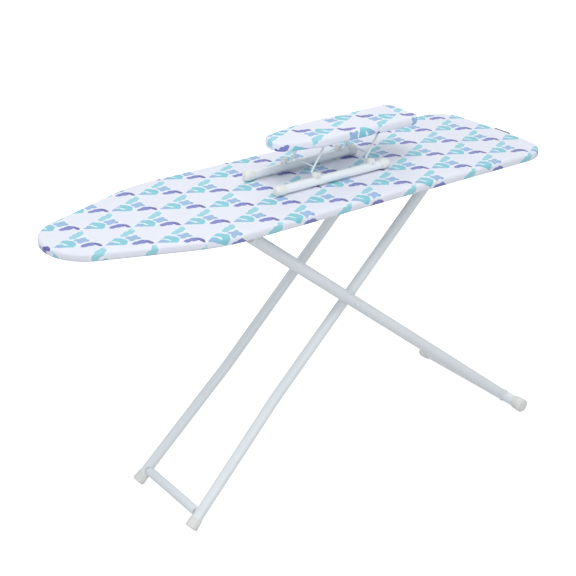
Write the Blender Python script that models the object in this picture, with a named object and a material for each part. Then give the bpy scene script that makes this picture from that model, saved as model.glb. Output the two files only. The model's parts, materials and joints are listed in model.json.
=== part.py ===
"""Folding ironing board with crossed tube legs and a lift-off sleeve board.

Metres, +Z up.  X runs from the rounded nose (-X) to the square tail (+X), Y across the board,
and the floor is z = 0 under the middle of the object.  The legs are two tube frames that cross:
the U leg (two tubes, hinged under the tail) and the T leg (one tube with a foot bar).
"""
import math

import bmesh
import bpy
from mathutils import Vector

# ---------------------------------------------------------------- driving dimensions
GAP = 0.0003                    # clearance between touching pieces
RUN = 0.0003                    # radial clearance of a pin in its hole

# main board
NOSE_X = -0.6297
TAIL_X = 0.6233                  # apex of the tail edge before it is bowed
TAIL_CORNER_X = 0.6076
TAIL_BOW = 1.5                   # radius of the bowed tail edge
HALF_WIDTH = 0.1898
BOARD_Y = -0.0104                # the board's middle line; the legs' is y = 0
BEND_X = -0.3264                 # where the straight sides start to taper
NOSE_HALF = 0.0734               # half width of the nose outline before it is rounded
BOARD_BOTTOM = 0.706
BOARD_TOP = 0.728
COVER_SKIN = 0.0012
HEM_WIDTH = 0.042
RIM_RADIUS = 0.0045
RIM_INSET = 0.0095
RIM_Z = 0.7126
RIM_BUTT = 0.0012               # what each rim run is cut short by at a butt joint
MESH_INSET = 0.006
MESH_Z = (0.7178, 0.7184)
PAD_INSET = 0.010
PAD_Z = (0.7187, 0.7262)
BRACE_Z = (0.7076, 0.7175)
BRACE_HALF = 0.018              # half of a brace's width along X
NOSE_BRACE_X = -0.3841
MID_BRACE_X = -0.1591
TAIL_BRACE_X = 0.3159
CORD_RADIUS = 0.0015

# legs: points in the XZ plane
U_FOOT = Vector((-0.3772, 0.0074))
HINGE = Vector((0.3113, 0.676))
T_FOOT = Vector((0.6039, 0.017))
CATCH = Vector((-0.2027, 0.672))
U_RADIUS = 0.0125
U_Y = 0.098                     # half spacing of the U leg's tubes under the board
U_FOOT_Y = 0.116                # and at the floor
FLARE_Z = 0.235                 # height where the tubes start to flare
U_CAP_LENGTH = 0.0245
U_BAR_RADIUS = 0.011
U_BAR_UP = 0.034                # from the foot to the crossbar along the leg
T_RADIUS = 0.014
T_Y = -0.127                    # the T leg's tube runs beside the near U tube
T_BAR_HALF = 0.187
T_CAP_REACH = 0.195
T_CAP_RADIUS = 0.018
WALL = 0.0012                   # tube wall
PIVOT_RADIUS = 0.005
CATCH_RADIUS = 0.004
RACK_Y = (-0.025, 0.060)        # the near and far rack
RACK_SLOT_Z = (0.665, 0.6765)
RACK_SLOT_X = (-0.3866, -0.1941)

# height lock
LEVER = Vector((-0.1441, 0.690))
LEVER_RADIUS = 0.003
HOOK_Y = 0.018
LEVER_GRIP_Y = 0.125
LEVER_GRIP_X = (-0.2191, -0.1591)

# sleeve board
SLEEVE_Y = -0.014               # its centre line
SLEEVE_TUBE_OFFSET = 0.058
SLEEVE_TUBE_RADIUS = 0.010
SLEEVE_CAP_RADIUS = 0.012
SLEEVE_TUBE_X = (-0.0961, 0.1959)
SLEEVE_CAP_OUT = 0.013
SLEEVE_TUBE_Z = BOARD_TOP + GAP + SLEEVE_CAP_RADIUS
LINK_BASE = (0.0029, 0.1579)    # X of the front and rear link axles on the base
LINK_BASE_Z = 0.7545
LINK_TOP_Z = 0.8075
LINK_LEAN = 0.036               # how far the links lean towards the tail
LINK_RADIUS = 0.0025
LINK_UPRIGHT = 0.039            # offset of a link's uprights from the centre line
LINK_END = 0.069                # offset of a link's axle ends
DECK_X = (-0.0831, 0.3059)
DECK_HALF = 0.059
DECK_BOTTOM = 0.8115
DECK_TOP = 0.8350
PAN_TOP = 0.8288                # top face of the deck's steel pan
DECK_SKIN = 0.0010
DECK_HEM = 0.018

Y_AXIS = Vector((0, 1, 0))


def meet(a, b, c, d):
    """Point where the line a-b crosses the line c-d, in the XZ plane."""
    r, s = b - a, d - c
    t = (c - a).cross(s) / r.cross(s)
    return a + r * t


TAIL_TURN = math.atan2(TAIL_X - TAIL_CORNER_X, HALF_WIDTH)
TAIL_EDGE_X = TAIL_X - TAIL_BOW * (1 / math.cos(TAIL_TURN) - 1)
FRAME_ORIGIN = Vector((-0.0039, -0.0026, 0.0))   # under the middle of the whole, in layout
PIVOT = meet(U_FOOT, HINGE, T_FOOT, CATCH)
U_DIR = (HINGE - U_FOOT).normalized()
T_DIR = (CATCH - T_FOOT).normalized()


def at(xz, y):
    """A point of the XZ plane moved to the given Y."""
    return Vector((xz[0], y, xz[1]))


# ---------------------------------------------------------------- scene, materials, placing
for old in list(bpy.data.objects):
    bpy.data.objects.remove(old, do_unlink=True)


def material(name, colour, roughness, metallic=0.0):
    mat = bpy.data.materials.new(name)
    mat.use_nodes = True
    shader = mat.node_tree.nodes["Principled BSDF"]
    shader.inputs["Base Color"].default_value = (*colour, 1.0)
    shader.inputs["Roughness"].default_value = roughness
    shader.inputs["Metallic"].default_value = metallic
    return mat


PAINT = material("white_powder_coat", (0.80, 0.83, 0.85), 0.35)
CAP_PLASTIC = material("warm_white_plastic", (0.82, 0.83, 0.81), 0.45)
STEEL = material("zinc_plated_steel", (0.62, 0.63, 0.64), 0.35, 0.9)
PRINT = material("printed_cotton", (0.82, 0.84, 0.93), 0.85)
FELT = material("white_felt", (0.86, 0.86, 0.84), 0.95)
CORD = material("white_cord", (0.84, 0.84, 0.82), 0.8)
LABEL = material("brown_woven_label", (0.12, 0.09, 0.07), 0.8)
GRIP = material("grey_grip_plastic", (0.55, 0.58, 0.60), 0.5)


def home_of(parent):
    """Where a joint empty stands in layout coordinates; the frame's origin where there is none."""
    return Vector(parent["home"]) if parent else FRAME_ORIGIN


def joint_empty(name, position, parent=None):
    """An empty on a joint's axis, which carries the moving pieces."""
    empty = bpy.data.objects.new(name, None)
    bpy.context.scene.collection.objects.link(empty)
    empty.parent = parent
    empty.location = position - home_of(parent)
    empty["home"] = position
    return empty


def add(name, bm, mat, parent=None, smooth=True):
    """Turn a bmesh in layout coordinates into an object whose origin is its joint."""
    origin = home_of(parent)
    bmesh.ops.recalc_face_normals(bm, faces=bm.faces)
    bmesh.ops.translate(bm, verts=bm.verts, vec=-origin)
    mesh = bpy.data.meshes.new(name)
    bm.to_mesh(mesh)
    bm.free()
    if smooth:
        mesh.shade_smooth()
        mesh.set_sharp_from_angle(angle=math.radians(40))
    mesh.materials.append(mat)
    obj = bpy.data.objects.new(name, mesh)
    bpy.context.scene.collection.objects.link(obj)
    obj.parent = parent
    return obj


def cut(obj, bm_cutter):
    """Subtract a closed shape given in layout coordinates."""
    bmesh.ops.recalc_face_normals(bm_cutter, faces=bm_cutter.faces)
    bmesh.ops.translate(bm_cutter, verts=bm_cutter.verts, vec=-FRAME_ORIGIN)
    mesh = bpy.data.meshes.new(obj.name + "_cut")
    bm_cutter.to_mesh(mesh)
    bm_cutter.free()
    cutter = bpy.data.objects.new(mesh.name, mesh)
    bpy.context.scene.collection.objects.link(cutter)
    cutter.hide_render = True
    cutter.display_type = 'WIRE'
    boolean = obj.modifiers.new("cut", 'BOOLEAN')
    boolean.operation = 'DIFFERENCE'
    boolean.solver = 'EXACT'
    boolean.object = cutter
    return obj


# ---------------------------------------------------------------- shape makers
def ring_frame(tangent):
    """Two unit vectors square to a direction."""
    side = Vector((0, 0, 1)) if abs(tangent.z) < 0.9 else Vector((1, 0, 0))
    u = tangent.cross(side).normalized()
    return u, tangent.cross(u).normalized()


def loft(loops, closed=False):
    """Skin a list of rings of points, with the end rings filled unless it closes on itself."""
    bm = bmesh.new()
    rings = [[bm.verts.new(p) for p in loop] for loop in loops]
    count = len(rings[0])
    spans = list(zip(rings, rings[1:]))
    if closed:
        spans.append((rings[-1], rings[0]))
    for a, b in spans:
        for i in range(count):
            j = (i + 1) % count
            bm.faces.new((a[i], a[j], b[j], b[i]))
    if not closed:
        bm.faces.new(rings[0][::-1])
        bm.faces.new(rings[-1])
    return bm


def sweep_rings(points, radius, sides, closed):
    """Rings of a round tube along a path, mitred at each point."""
    rings = []
    total = len(points)
    normal = None
    for i, point in enumerate(points):
        before = points[i - 1] if (closed or i) else point
        after = points[(i + 1) % total] if (closed or i < total - 1) else point
        incoming = (point - before).normalized() if point != before else None
        outgoing = (after - point).normalized() if after != point else None
        incoming = incoming or outgoing
        outgoing = outgoing or incoming
        tangent = (incoming + outgoing).normalized()
        if normal is None:
            normal = ring_frame(tangent)[0]
        normal = (normal - tangent * normal.dot(tangent)).normalized()
        across = tangent.cross(normal)
        half = math.sqrt(max(0.0, (1 + incoming.dot(outgoing)) / 2))
        turn = (outgoing - incoming)
        bend = turn.normalized() if turn.length > 1e-6 else Vector()
        ring = []
        for k in range(sides):
            angle = 2 * math.pi * k / sides
            offset = (normal * math.cos(angle) + across * math.sin(angle)) * radius
            offset += bend * offset.dot(bend) * (1 / half - 1)
            ring.append(point + offset)
        rings.append(ring)
    return rings


def tube(points, radius, sides=24, wall=None, closed=False):
    """A round bar along a path, or an open-ended tube where a wall is given."""
    points = [Vector(p) for p in points]
    outer = sweep_rings(points, radius, sides, closed)
    if wall is None:
        return loft(outer, closed)
    inner = sweep_rings(points, radius - wall, sides, closed)
    return loft(outer + inner[::-1], closed=True)


def turned(profile, start, direction, sides=24, closed=True):
    """Turn a profile of (distance along, radius) points about an axis."""
    direction = Vector(direction).normalized()
    u, v = ring_frame(direction)
    loops = []
    for along, radius in profile:
        centre = Vector(start) + direction * along
        angles = [2 * math.pi * k / sides for k in range(sides)]
        loops.append([centre + (u * math.cos(a) + v * math.sin(a)) * radius for a in angles])
    return loft(loops, closed)


def rod(start, end, radius, sides=16):
    return tube([start, end], radius, sides)


def block(low, high, bevel=0.0):
    """A box between two corners, with its edges rounded off."""
    low, high = Vector(low), Vector(high)
    bm = bmesh.new()
    bmesh.ops.create_cube(bm, size=1.0)
    bmesh.ops.scale(bm, verts=bm.verts, vec=high - low)
    bmesh.ops.translate(bm, verts=bm.verts, vec=(low + high) / 2)
    if bevel:
        bmesh.ops.bevel(bm, geom=bm.edges, offset=bevel, segments=2, affect='EDGES')
    return bm


def extrude_y(outline, y_low, y_high):
    """Extrude an outline of (x, z) points along Y."""
    return loft([[Vector((x, y, z)) for x, z in outline] for y in (y_low, y_high)])


def arc_xz(centre, radius, start, end, steps):
    """Points of an arc in the XZ plane, angles in degrees."""
    turn = (math.radians(end) - math.radians(start)) / steps
    angles = [math.radians(start) + turn * i for i in range(steps + 1)]
    return [(centre[0] + radius * math.cos(a), centre[1] + radius * math.sin(a)) for a in angles]


# ---------------------------------------------------------------- outlines of the two decks
def rounded_corners(corners, inset):
    """Inset a convex polygon of (point, radius, steps) corners; returns one arc per corner."""
    points = [Vector(c[0]) for c in corners]
    total = len(points)
    arcs = []
    for i, (_, radius, steps) in enumerate(corners):
        here = points[i]
        back = (here - points[i - 1]).normalized()
        forth = (points[(i + 1) % total] - here).normalized()
        turn = back.angle_signed(forth)
        turn = abs(turn)
        inward_back = Vector((-back.y, back.x))
        inward_forth = Vector((-forth.y, forth.x))
        reach = inset / math.cos(turn / 2)
        bisector = (inward_back + inward_forth).normalized()
        corner = here + bisector * reach
        r = max(radius - inset, 0.002)
        centre = corner + bisector * (r / math.cos(turn / 2))
        start = math.atan2(-inward_back.y, -inward_back.x)
        arcs.append([centre + Vector((math.cos(start + turn * k / steps),
                                      math.sin(start + turn * k / steps))) * r
                     for k in range(steps + 1)])
    return arcs


def board_corners():
    near, far = BOARD_Y - HALF_WIDTH, BOARD_Y + HALF_WIDTH
    return [((TAIL_CORNER_X, near), 0.0686, 6), ((TAIL_X, BOARD_Y), TAIL_BOW, 4),
            ((TAIL_CORNER_X, far), 0.0686, 6), ((BEND_X, far), 0.3272, 3),
            ((NOSE_X, BOARD_Y + NOSE_HALF), 0.1034, 8),
            ((NOSE_X, BOARD_Y - NOSE_HALF), 0.1034, 8), ((BEND_X, near), 0.3272, 3)]


def deck_corners():
    nose, tail = DECK_X
    shoulder = nose + 0.105
    return [((tail, SLEEVE_Y - DECK_HALF), 0.022, 4), ((tail, SLEEVE_Y + DECK_HALF), 0.022, 4),
            ((shoulder, SLEEVE_Y + DECK_HALF), 0.120, 3), ((nose, SLEEVE_Y + 0.031), 0.039, 6),
            ((nose, SLEEVE_Y - 0.031), 0.039, 6), ((shoulder, SLEEVE_Y - DECK_HALF), 0.120, 3)]


def outline(corners, inset):
    return [p for arc in rounded_corners(corners, inset) for p in arc]


def level(corners, inset, z):
    return [Vector((p.x, p.y, z)) for p in outline(corners, inset)]


def slab(corners, inset, z_low, z_high):
    return loft([level(corners, inset, z_low), level(corners, inset, z_high)])


def cover_shell(corners, bottom, top, skin, hem, steps):
    """A fitted cover: top sheet, rounded side and a hem turned in underneath, one thin body."""
    round_top, round_low = 0.36 * (top - bottom), 0.32 * (top - bottom)
    outside, inside = [], []
    for k in range(steps + 1):
        a = math.pi / 2 * (1 - k / steps)
        sine, cosine = math.sin(a), math.cos(a)
        outside.append((round_top * (1 - cosine), top - round_top * (1 - sine)))
        inner = round_top - skin
        inside.append((skin + inner * (1 - cosine), top - round_top + inner * sine))
    for k in range(steps + 1):
        a = math.pi / 2 * k / steps
        sine, cosine = math.sin(a), math.cos(a)
        outside.append((round_low * (1 - cosine), bottom + round_low * (1 - sine)))
        inner = round_low - skin
        inside.append((skin + inner * (1 - cosine), bottom + round_low - inner * sine))
    outside.append((hem, bottom))
    inside.append((hem, bottom + skin))
    profile = outside + inside[::-1]
    return loft([level(corners, inset, z) for inset, z in profile])


# ---------------------------------------------------------------- main board
def build_board():
    corners = board_corners()
    add("board_cover", cover_shell(corners, BOARD_BOTTOM, BOARD_TOP, COVER_SKIN, HEM_WIDTH, 3),
        PRINT)
    add("board_pad", slab(corners, PAD_INSET, *PAD_Z), FELT)
    add("board_mesh", slab(corners, MESH_INSET, *MESH_Z), PAINT)
    build_rim(corners)
    build_braces()
    cord_z = BRACE_Z[0] - GAP - CORD_RADIUS
    cord = level(corners, HEM_WIDTH + 0.0025, cord_z)
    add("cover_drawcord", tube(cord, CORD_RADIUS, sides=4, closed=True), CORD)
    toggle_x = TAIL_EDGE_X - HEM_WIDTH - 0.0123
    toggle = block((toggle_x - 0.006, 0.010, cord_z - 0.0040),
                   (toggle_x + 0.006, 0.032, cord_z + 0.0045), 0.0015)
    add("cover_toggle", toggle, GRIP)
    tab = block((TAIL_EDGE_X + GAP, -0.058, 0.7100), (TAIL_EDGE_X + 0.0009, -0.004, 0.7235))
    add("cover_tab", tab, LABEL, smooth=False)


def build_rim(corners):
    """The steel edge tube, in four runs that butt together."""
    arcs = rounded_corners(corners, RIM_INSET)
    runs = {"rim_tail": arcs[0] + arcs[1] + arcs[2],
            "rim_far": [arcs[2][-1]] + arcs[3] + [arcs[4][0]],
            "rim_nose": arcs[4] + arcs[5],
            "rim_near": [arcs[5][-1]] + arcs[6] + [arcs[0][0]]}
    for name, run in runs.items():
        path = [Vector((p.x, p.y, RIM_Z)) for p in run]
        path[0] += (path[1] - path[0]).normalized() * RIM_BUTT
        path[-1] += (path[-2] - path[-1]).normalized() * RIM_BUTT
        add(name, tube(path, RIM_RADIUS, sides=8, wall=0.001), PAINT)


def brace(name, x, half_length):
    """A downward channel across the board, under the mesh."""
    low, high = BRACE_Z
    skin = 0.0012
    outer, inner = BRACE_HALF, BRACE_HALF - skin
    section = [(x - outer, low), (x - outer, high), (x + outer, high), (x + outer, low),
               (x + inner, low), (x + inner, high - skin), (x - inner, high - skin),
               (x - inner, low)]
    add(name, extrude_y(section, BOARD_Y - half_length, BOARD_Y + half_length), PAINT, smooth=False)


def build_braces():
    full = HALF_WIDTH - RIM_INSET - RIM_RADIUS - 0.0008
    brace("tail_brace", TAIL_BRACE_X, full)
    brace("mid_brace", MID_BRACE_X, full)
    brace("nose_brace", NOSE_BRACE_X, 0.145)


def hanger(name, centre, radius, hole, top, flange, y_low, y_high, parent=None):
    """A bearing block that hangs from a brace around a rod: wide on top, round below."""
    x, z = centre
    shape = [(x - flange, top), (x - flange, top - 0.003)]
    shape += arc_xz(centre, radius, 180, 360, 8)
    shape += [(x + flange, top - 0.003), (x + flange, top)]
    obj = add(name, extrude_y(shape, y_low, y_high), PAINT, parent)
    return cut(obj, rod((x, y_low - 0.01, z), (x, y_high + 0.01, z), hole, 16))


def build_hinge_brackets():
    for side, sign in (("near", -1), ("far", 1)):
        y = sorted((sign * 0.057, sign * 0.073))
        hanger("hinge_bracket_" + side, HINGE, 0.010, PIVOT_RADIUS + RUN, BRACE_Z[0] - GAP,
               0.016, *y)


def rack(name, y):
    """A slotted plate with notches along the slot's upper edge, where the catch rod slides."""
    x_low, x_high = -0.4001, -0.1541
    z_low, z_high = 0.6595, BRACE_Z[0] - GAP
    plate = [(x_low + 0.012, z_low), (x_high - 0.012, z_low), (x_high, z_low + 0.012),
             (x_high, z_high), (x_low, z_high), (x_low, z_low + 0.012)]
    obj = add(name, extrude_y(plate, y - 0.001, y + 0.001), PAINT, smooth=False)
    left, right = RACK_SLOT_X
    low, high = RACK_SLOT_Z
    notches = 7
    pitch = (CATCH.x + 0.0045 - (left + 0.008)) / notches
    slot = [(left, low), (right, low), (right, high)]
    for i in range(notches):
        middle = CATCH.x - pitch * i
        slot += [(middle + 0.0045, high), (middle + 0.0030, high + 0.0040),
                 (middle - 0.0030, high + 0.0048), (middle - 0.0045, high)]
    slot.append((left, high))
    cut(obj, extrude_y(slot, y - 0.01, y + 0.01))


# ---------------------------------------------------------------- height lock
def build_lock(body):
    reach = CATCH.x - CATCH_RADIUS - 0.0015
    x, z = LEVER
    tip_z = CATCH.y + CATCH_RADIUS + 0.0015
    hook = arc_xz(LEVER, 0.007, -120, 120, 8)
    hook += [(reach, z + 0.005), (reach - 0.009, z + 0.002), (reach - 0.008, tip_z),
             (reach - 0.002, tip_z), (reach, z - 0.004)]
    hook_y = (HOOK_Y - 0.0015, HOOK_Y + 0.0015)
    obj = add("lock_hook", extrude_y(hook, *hook_y), PAINT, body, smooth=False)
    cut(obj, rod((x, HOOK_Y - 0.02, z), (x, HOOK_Y + 0.02, z), LEVER_RADIUS + GAP, 16))

    bend = 0.010
    path = [at(LEVER, -0.012), at(LEVER, LEVER_GRIP_Y - bend)]
    path += [Vector((x - bend + bend * math.cos(a), LEVER_GRIP_Y - bend + bend * math.sin(a), z))
             for a in (math.radians(d) for d in (22.5, 45, 67.5, 90))]
    path.append(Vector((LEVER_GRIP_X[0] + 0.004, LEVER_GRIP_Y, z)))
    add("lever_rod", tube(path, LEVER_RADIUS, sides=12), STEEL, body)

    low, high = LEVER_GRIP_X
    length = high - low
    bore = LEVER_RADIUS + GAP
    profile = [(0, bore), (0, 0.0050), (0.003, 0.0058), (length / 2, 0.0050),
               (length - 0.008, 0.0058), (length - 0.002, 0.0045), (length, 0.0020),
               (length, 0.0005), (length - 0.0035, 0.0005), (length - 0.0035, bore)]
    add("lever_grip", turned(profile, (high, LEVER_GRIP_Y, z), (-1, 0, 0), 16), GRIP, body)


def build_lock_mount():
    for side, y in (("near", (-0.006, 0.006)), ("far", (0.082, 0.094))):
        hanger("lever_hanger_" + side, LEVER, 0.007, LEVER_RADIUS + RUN, BRACE_Z[0] - GAP,
               0.008, *y)
    turns, per_turn, coil = 4, 8, 0.0052
    start, pitch = 0.030, 0.0026
    path = []
    for i in range(turns * per_turn + 1):
        a = 2 * math.pi * i / per_turn
        path.append(Vector((LEVER.x + coil * math.cos(a), start + pitch * i / per_turn,
                            LEVER.y + coil * math.sin(a))))
    add("lever_spring", tube(path, 0.0008, sides=4), STEEL)


# ---------------------------------------------------------------- U leg
def u_tube_path(sign):
    """Centre line of one U leg tube, from above the hinge down to its foot."""
    top = HINGE + U_DIR * 0.014
    rise = (FLARE_Z - U_FOOT.y) / U_DIR.y
    bend = U_FOOT + U_DIR * rise
    ease = 0.030
    foot = U_FOOT + U_DIR * 0.004
    points = [at(top, sign * U_Y), at(bend + U_DIR * ease, sign * U_Y)]
    flare = U_FOOT_Y - U_Y
    points.append(at(bend, sign * (U_Y + flare * 0.04)))
    points.append(at(bend - U_DIR * ease, sign * (U_Y + flare * 0.16)))
    points.append(at(foot, sign * U_FOOT_Y))
    return points


def build_u_leg(body):
    bar_centre = U_FOOT + U_DIR * U_BAR_UP
    pin_hole = PIVOT_RADIUS + RUN
    for side, sign in (("near", -1), ("far", 1)):
        path = u_tube_path(sign)
        obj = add("u_tube_" + side, tube(path, U_RADIUS, 20, WALL), PAINT, body)
        for centre in (HINGE, PIVOT):
            cut(obj, rod(at(centre, sign * 0.07), at(centre, sign * 0.13), pin_hole))
        down = (path[-1] - path[-2]).normalized()
        build_foot_cap("u_cap_" + side, path[-1], down, body)

    bar = tube([at(bar_centre, -U_FOOT_Y), at(bar_centre, U_FOOT_Y)], U_BAR_RADIUS, 20, WALL)
    obj = add("u_crossbar", bar, PAINT, body)
    for sign in (-1, 1):
        lower, upper = u_tube_path(sign)[-1], u_tube_path(sign)[-2]
        cope = rod(lower + (lower - upper).normalized() * 0.05, upper, U_RADIUS + GAP, 24)
        end_waste = block(at(bar_centre, sign * U_FOOT_Y) - Vector((0.04, 0, 0.04)),
                          at(bar_centre, sign * (U_FOOT_Y + 0.03)) + Vector((0.04, 0, 0.04)))
        cut(obj, cope)
        cut(obj, end_waste)

    reach = U_Y + U_RADIUS + 0.0005
    add("hinge_rod", rod(at(HINGE, -reach), at(HINGE, reach), PIVOT_RADIUS, 20), PAINT, body)
    build_pivot(body)


def build_foot_cap(name, tube_end, down, body):
    """A plastic cap pulled over a tube's end, flared towards the floor and flat on it."""
    length = U_CAP_LENGTH
    bore = U_RADIUS + GAP
    sole = 0.004
    profile = [(length - sole - 0.001, 0.001), (length - sole - 0.001, bore), (0, bore),
               (0, 0.0142), (0.002, 0.0147), (0.010, 0.0149), (length - 0.004, 0.0156),
               (length - 0.001, 0.0150), (length, 0.0138), (length, 0.001)]
    start = tube_end - down * (length - sole - 0.002)
    bm = turned(profile, start, down, 20)
    bmesh.ops.recalc_face_normals(bm, faces=bm.faces)
    obj = add(name, bm, CAP_PLASTIC, body)
    cut(obj, block((start.x - 0.1, start.y - 0.1, -0.05), (start.x + 0.1, start.y + 0.1, 0.0)))


def build_pivot(body):
    """The pin through all three tubes, its washer and its push nut."""
    head_start = T_Y - T_RADIUS - GAP
    far_end = U_Y + U_RADIUS + 0.0045
    length = far_end - head_start
    profile = [(-0.0026, 0.0006), (-0.0024, 0.0040), (-0.0015, 0.0068), (0, 0.0080),
               (0, PIVOT_RADIUS), (length - 0.001, PIVOT_RADIUS), (length, 0.0042),
               (length, 0.0006)]
    add("pivot_rod", turned(profile, at(PIVOT, head_start), Y_AXIS, 16, closed=False), PAINT, body)
    washer_low = T_Y + T_RADIUS + GAP
    washer_high = -U_Y - U_RADIUS - GAP
    hole = PIVOT_RADIUS + RUN
    washer = [(0, hole), (0, 0.0095), (washer_high - washer_low, 0.0095),
              (washer_high - washer_low, hole)]
    add("pivot_washer", turned(washer, at(PIVOT, washer_low), Y_AXIS, 16), CAP_PLASTIC, body)
    nut = [(0, hole), (0, 0.0085), (0.0022, 0.0080), (0.0030, 0.0065), (0.0030, hole)]
    nut_start = at(PIVOT, U_Y + U_RADIUS + GAP)
    add("pivot_nut", turned(nut, nut_start, Y_AXIS, 16), STEEL, body)


# ---------------------------------------------------------------- T leg
def build_t_leg(body):
    top = CATCH + T_DIR * 0.012
    leg = tube([at(top, T_Y), at(T_FOOT, T_Y)], T_RADIUS, 20, WALL)
    obj = add("t_tube", leg, PAINT, body)
    cut(obj, rod(at(T_FOOT, T_Y - 0.05), at(T_FOOT, T_Y + 0.05), T_RADIUS + GAP, 24))
    cut(obj, block(at(T_FOOT, T_Y) - Vector((0.005, 0.03, 0.03)),
                   at(T_FOOT, T_Y) + Vector((0.04, 0.03, 0.012))))
    for centre, radius in ((PIVOT, PIVOT_RADIUS + RUN), (CATCH, CATCH_RADIUS + RUN)):
        cut(obj, rod(at(centre, T_Y - 0.03), at(centre, T_Y + 0.03), radius))
    bar = tube([at(T_FOOT, -T_BAR_HALF), at(T_FOOT, T_BAR_HALF)], T_RADIUS, 24, WALL)
    add("t_bar", bar, PAINT, body)
    for side, sign in (("near", -1), ("far", 1)):
        build_bar_cap("t_cap_" + side, sign, body)
    build_catch_rod(body)
    plug = [(GAP, 0.0135), (0.0020, 0.0122), (0.0020, 0.0010), (-0.0060, 0.0010),
            (-0.0060, T_RADIUS - WALL - GAP), (GAP, T_RADIUS - WALL - GAP)]
    add("t_tube_plug", turned(plug, at(top, T_Y), at(T_DIR, 0.0), 16), CAP_PLASTIC, body)


def build_bar_cap(name, sign, body):
    """A round plastic cap over an end of the foot bar, with a flat sole."""
    length = T_CAP_REACH - T_BAR_HALF + 0.022
    bore = T_RADIUS + GAP
    floor = T_CAP_REACH - T_BAR_HALF - GAP
    profile = [(length - floor, 0.001), (length - floor, bore), (0, bore), (0, 0.0156),
               (0.002, 0.0162), (length * 0.55, 0.0174), (length - 0.005, T_CAP_RADIUS),
               (length - 0.0015, 0.0166), (length, 0.0130), (length, 0.001)]
    start = at(T_FOOT, sign * (T_CAP_REACH - length))
    obj = add(name, turned(profile, start, Y_AXIS * sign, 20), CAP_PLASTIC, body)
    cut(obj, block((start.x - 0.1, start.y - 0.1, -0.05), (start.x + 0.1, start.y + 0.1, 0.0)))


def build_catch_rod(body):
    """The rod at the top of the T leg that rides in the racks."""
    near, far = T_Y - T_RADIUS - GAP, RACK_Y[1] + 0.007
    length = far - near
    profile = [(-0.0012, 0.0006), (-0.0010, 0.0038), (0, 0.0052), (0, CATCH_RADIUS),
               (length, CATCH_RADIUS), (length, 0.0060), (length + 0.0015, 0.0045),
               (length + 0.0020, 0.0006)]
    add("catch_rod", turned(profile, at(CATCH, near), Y_AXIS, 16, closed=False), PAINT, body)


# ---------------------------------------------------------------- sleeve board
def build_sleeve_base(body):
    low, high = SLEEVE_TUBE_X
    for side, sign in (("near", -1), ("far", 1)):
        y = SLEEVE_Y + sign * SLEEVE_TUBE_OFFSET
        path = [(low, y, SLEEVE_TUBE_Z), (high, y, SLEEVE_TUBE_Z)]
        add("sleeve_tube_" + side, tube(path, SLEEVE_TUBE_RADIUS, 20, WALL), PAINT, body)
        for end, x, out in (("nose", low, -1), ("tail", high, 1)):
            build_sleeve_cap("_".join(("sleeve_cap", side, end)), x, y, out, body)
        for place, x in zip(("front", "rear"), LINK_BASE):
            build_saddle("_".join(("sleeve_saddle", side, place)), x, y, body)


def build_sleeve_cap(name, x, y, out, body):
    length = SLEEVE_CAP_OUT + 0.012
    bore = SLEEVE_TUBE_RADIUS + GAP
    profile = [(0.012 + GAP, 0.001), (0.012 + GAP, bore), (0, bore), (0, 0.0112), (0.0015, 0.0118),
               (length - 0.006, SLEEVE_CAP_RADIUS), (length - 0.002, 0.0106),
               (length, 0.0075), (length, 0.001)]
    start = (x - out * 0.012, y, SLEEVE_TUBE_Z)
    add(name, turned(profile, start, (out, 0, 0), 16), CAP_PLASTIC, body)


def build_saddle(name, x, y, body):
    """A plastic saddle on a base tube that carries a link's axle."""
    half_x, half_y = 0.008, 0.0075
    low, high = SLEEVE_TUBE_Z + 0.004, LINK_BASE_Z + 0.0055
    obj = add(name, block((x - half_x, y - half_y, low), (x + half_x, y + half_y, high), 0.0015),
              CAP_PLASTIC, body)
    cut(obj, rod((x - 0.05, y, SLEEVE_TUBE_Z), (x + 0.05, y, SLEEVE_TUBE_Z),
                 SLEEVE_TUBE_RADIUS + GAP, 20))
    cut(obj, rod((x, y - 0.02, LINK_BASE_Z), (x, y + 0.02, LINK_BASE_Z), LINK_RADIUS + RUN, 12))


def round_path(points, radius, steps=3):
    """Replace each inner corner of a path by a short arc."""
    points = [Vector(p) for p in points]
    path = [points[0]]
    for before, corner, after in zip(points, points[1:], points[2:]):
        a = (before - corner).normalized()
        b = (after - corner).normalized()
        for i in range(steps + 1):
            t = i / steps
            path.append(corner + a * radius * (1 - t) ** 2 + b * radius * t ** 2)
    path.append(points[-1])
    return path


def build_link(name, base_x, body):
    """One bent wire link: axle ends in the saddles, two uprights and the rod under the deck."""
    top_x = base_x + LINK_LEAN
    near, far = SLEEVE_Y - LINK_UPRIGHT, SLEEVE_Y + LINK_UPRIGHT
    path = round_path([(base_x, SLEEVE_Y - LINK_END, LINK_BASE_Z), (base_x, near, LINK_BASE_Z),
                       (top_x, near, LINK_TOP_Z), (top_x, far, LINK_TOP_Z),
                       (base_x, far, LINK_BASE_Z), (base_x, SLEEVE_Y + LINK_END, LINK_BASE_Z)],
                      0.006)
    add(name + "_wire", tube(path, LINK_RADIUS, 10), PAINT, body)
    share = 0.22
    x = base_x + LINK_LEAN * share
    z = LINK_BASE_Z + (LINK_TOP_Z - LINK_BASE_Z) * share
    clear = LINK_RADIUS + GAP
    add(name + "_tie", rod((x, near + clear, z), (x, far - clear, z), 0.0020, 10), PAINT, body)


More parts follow.
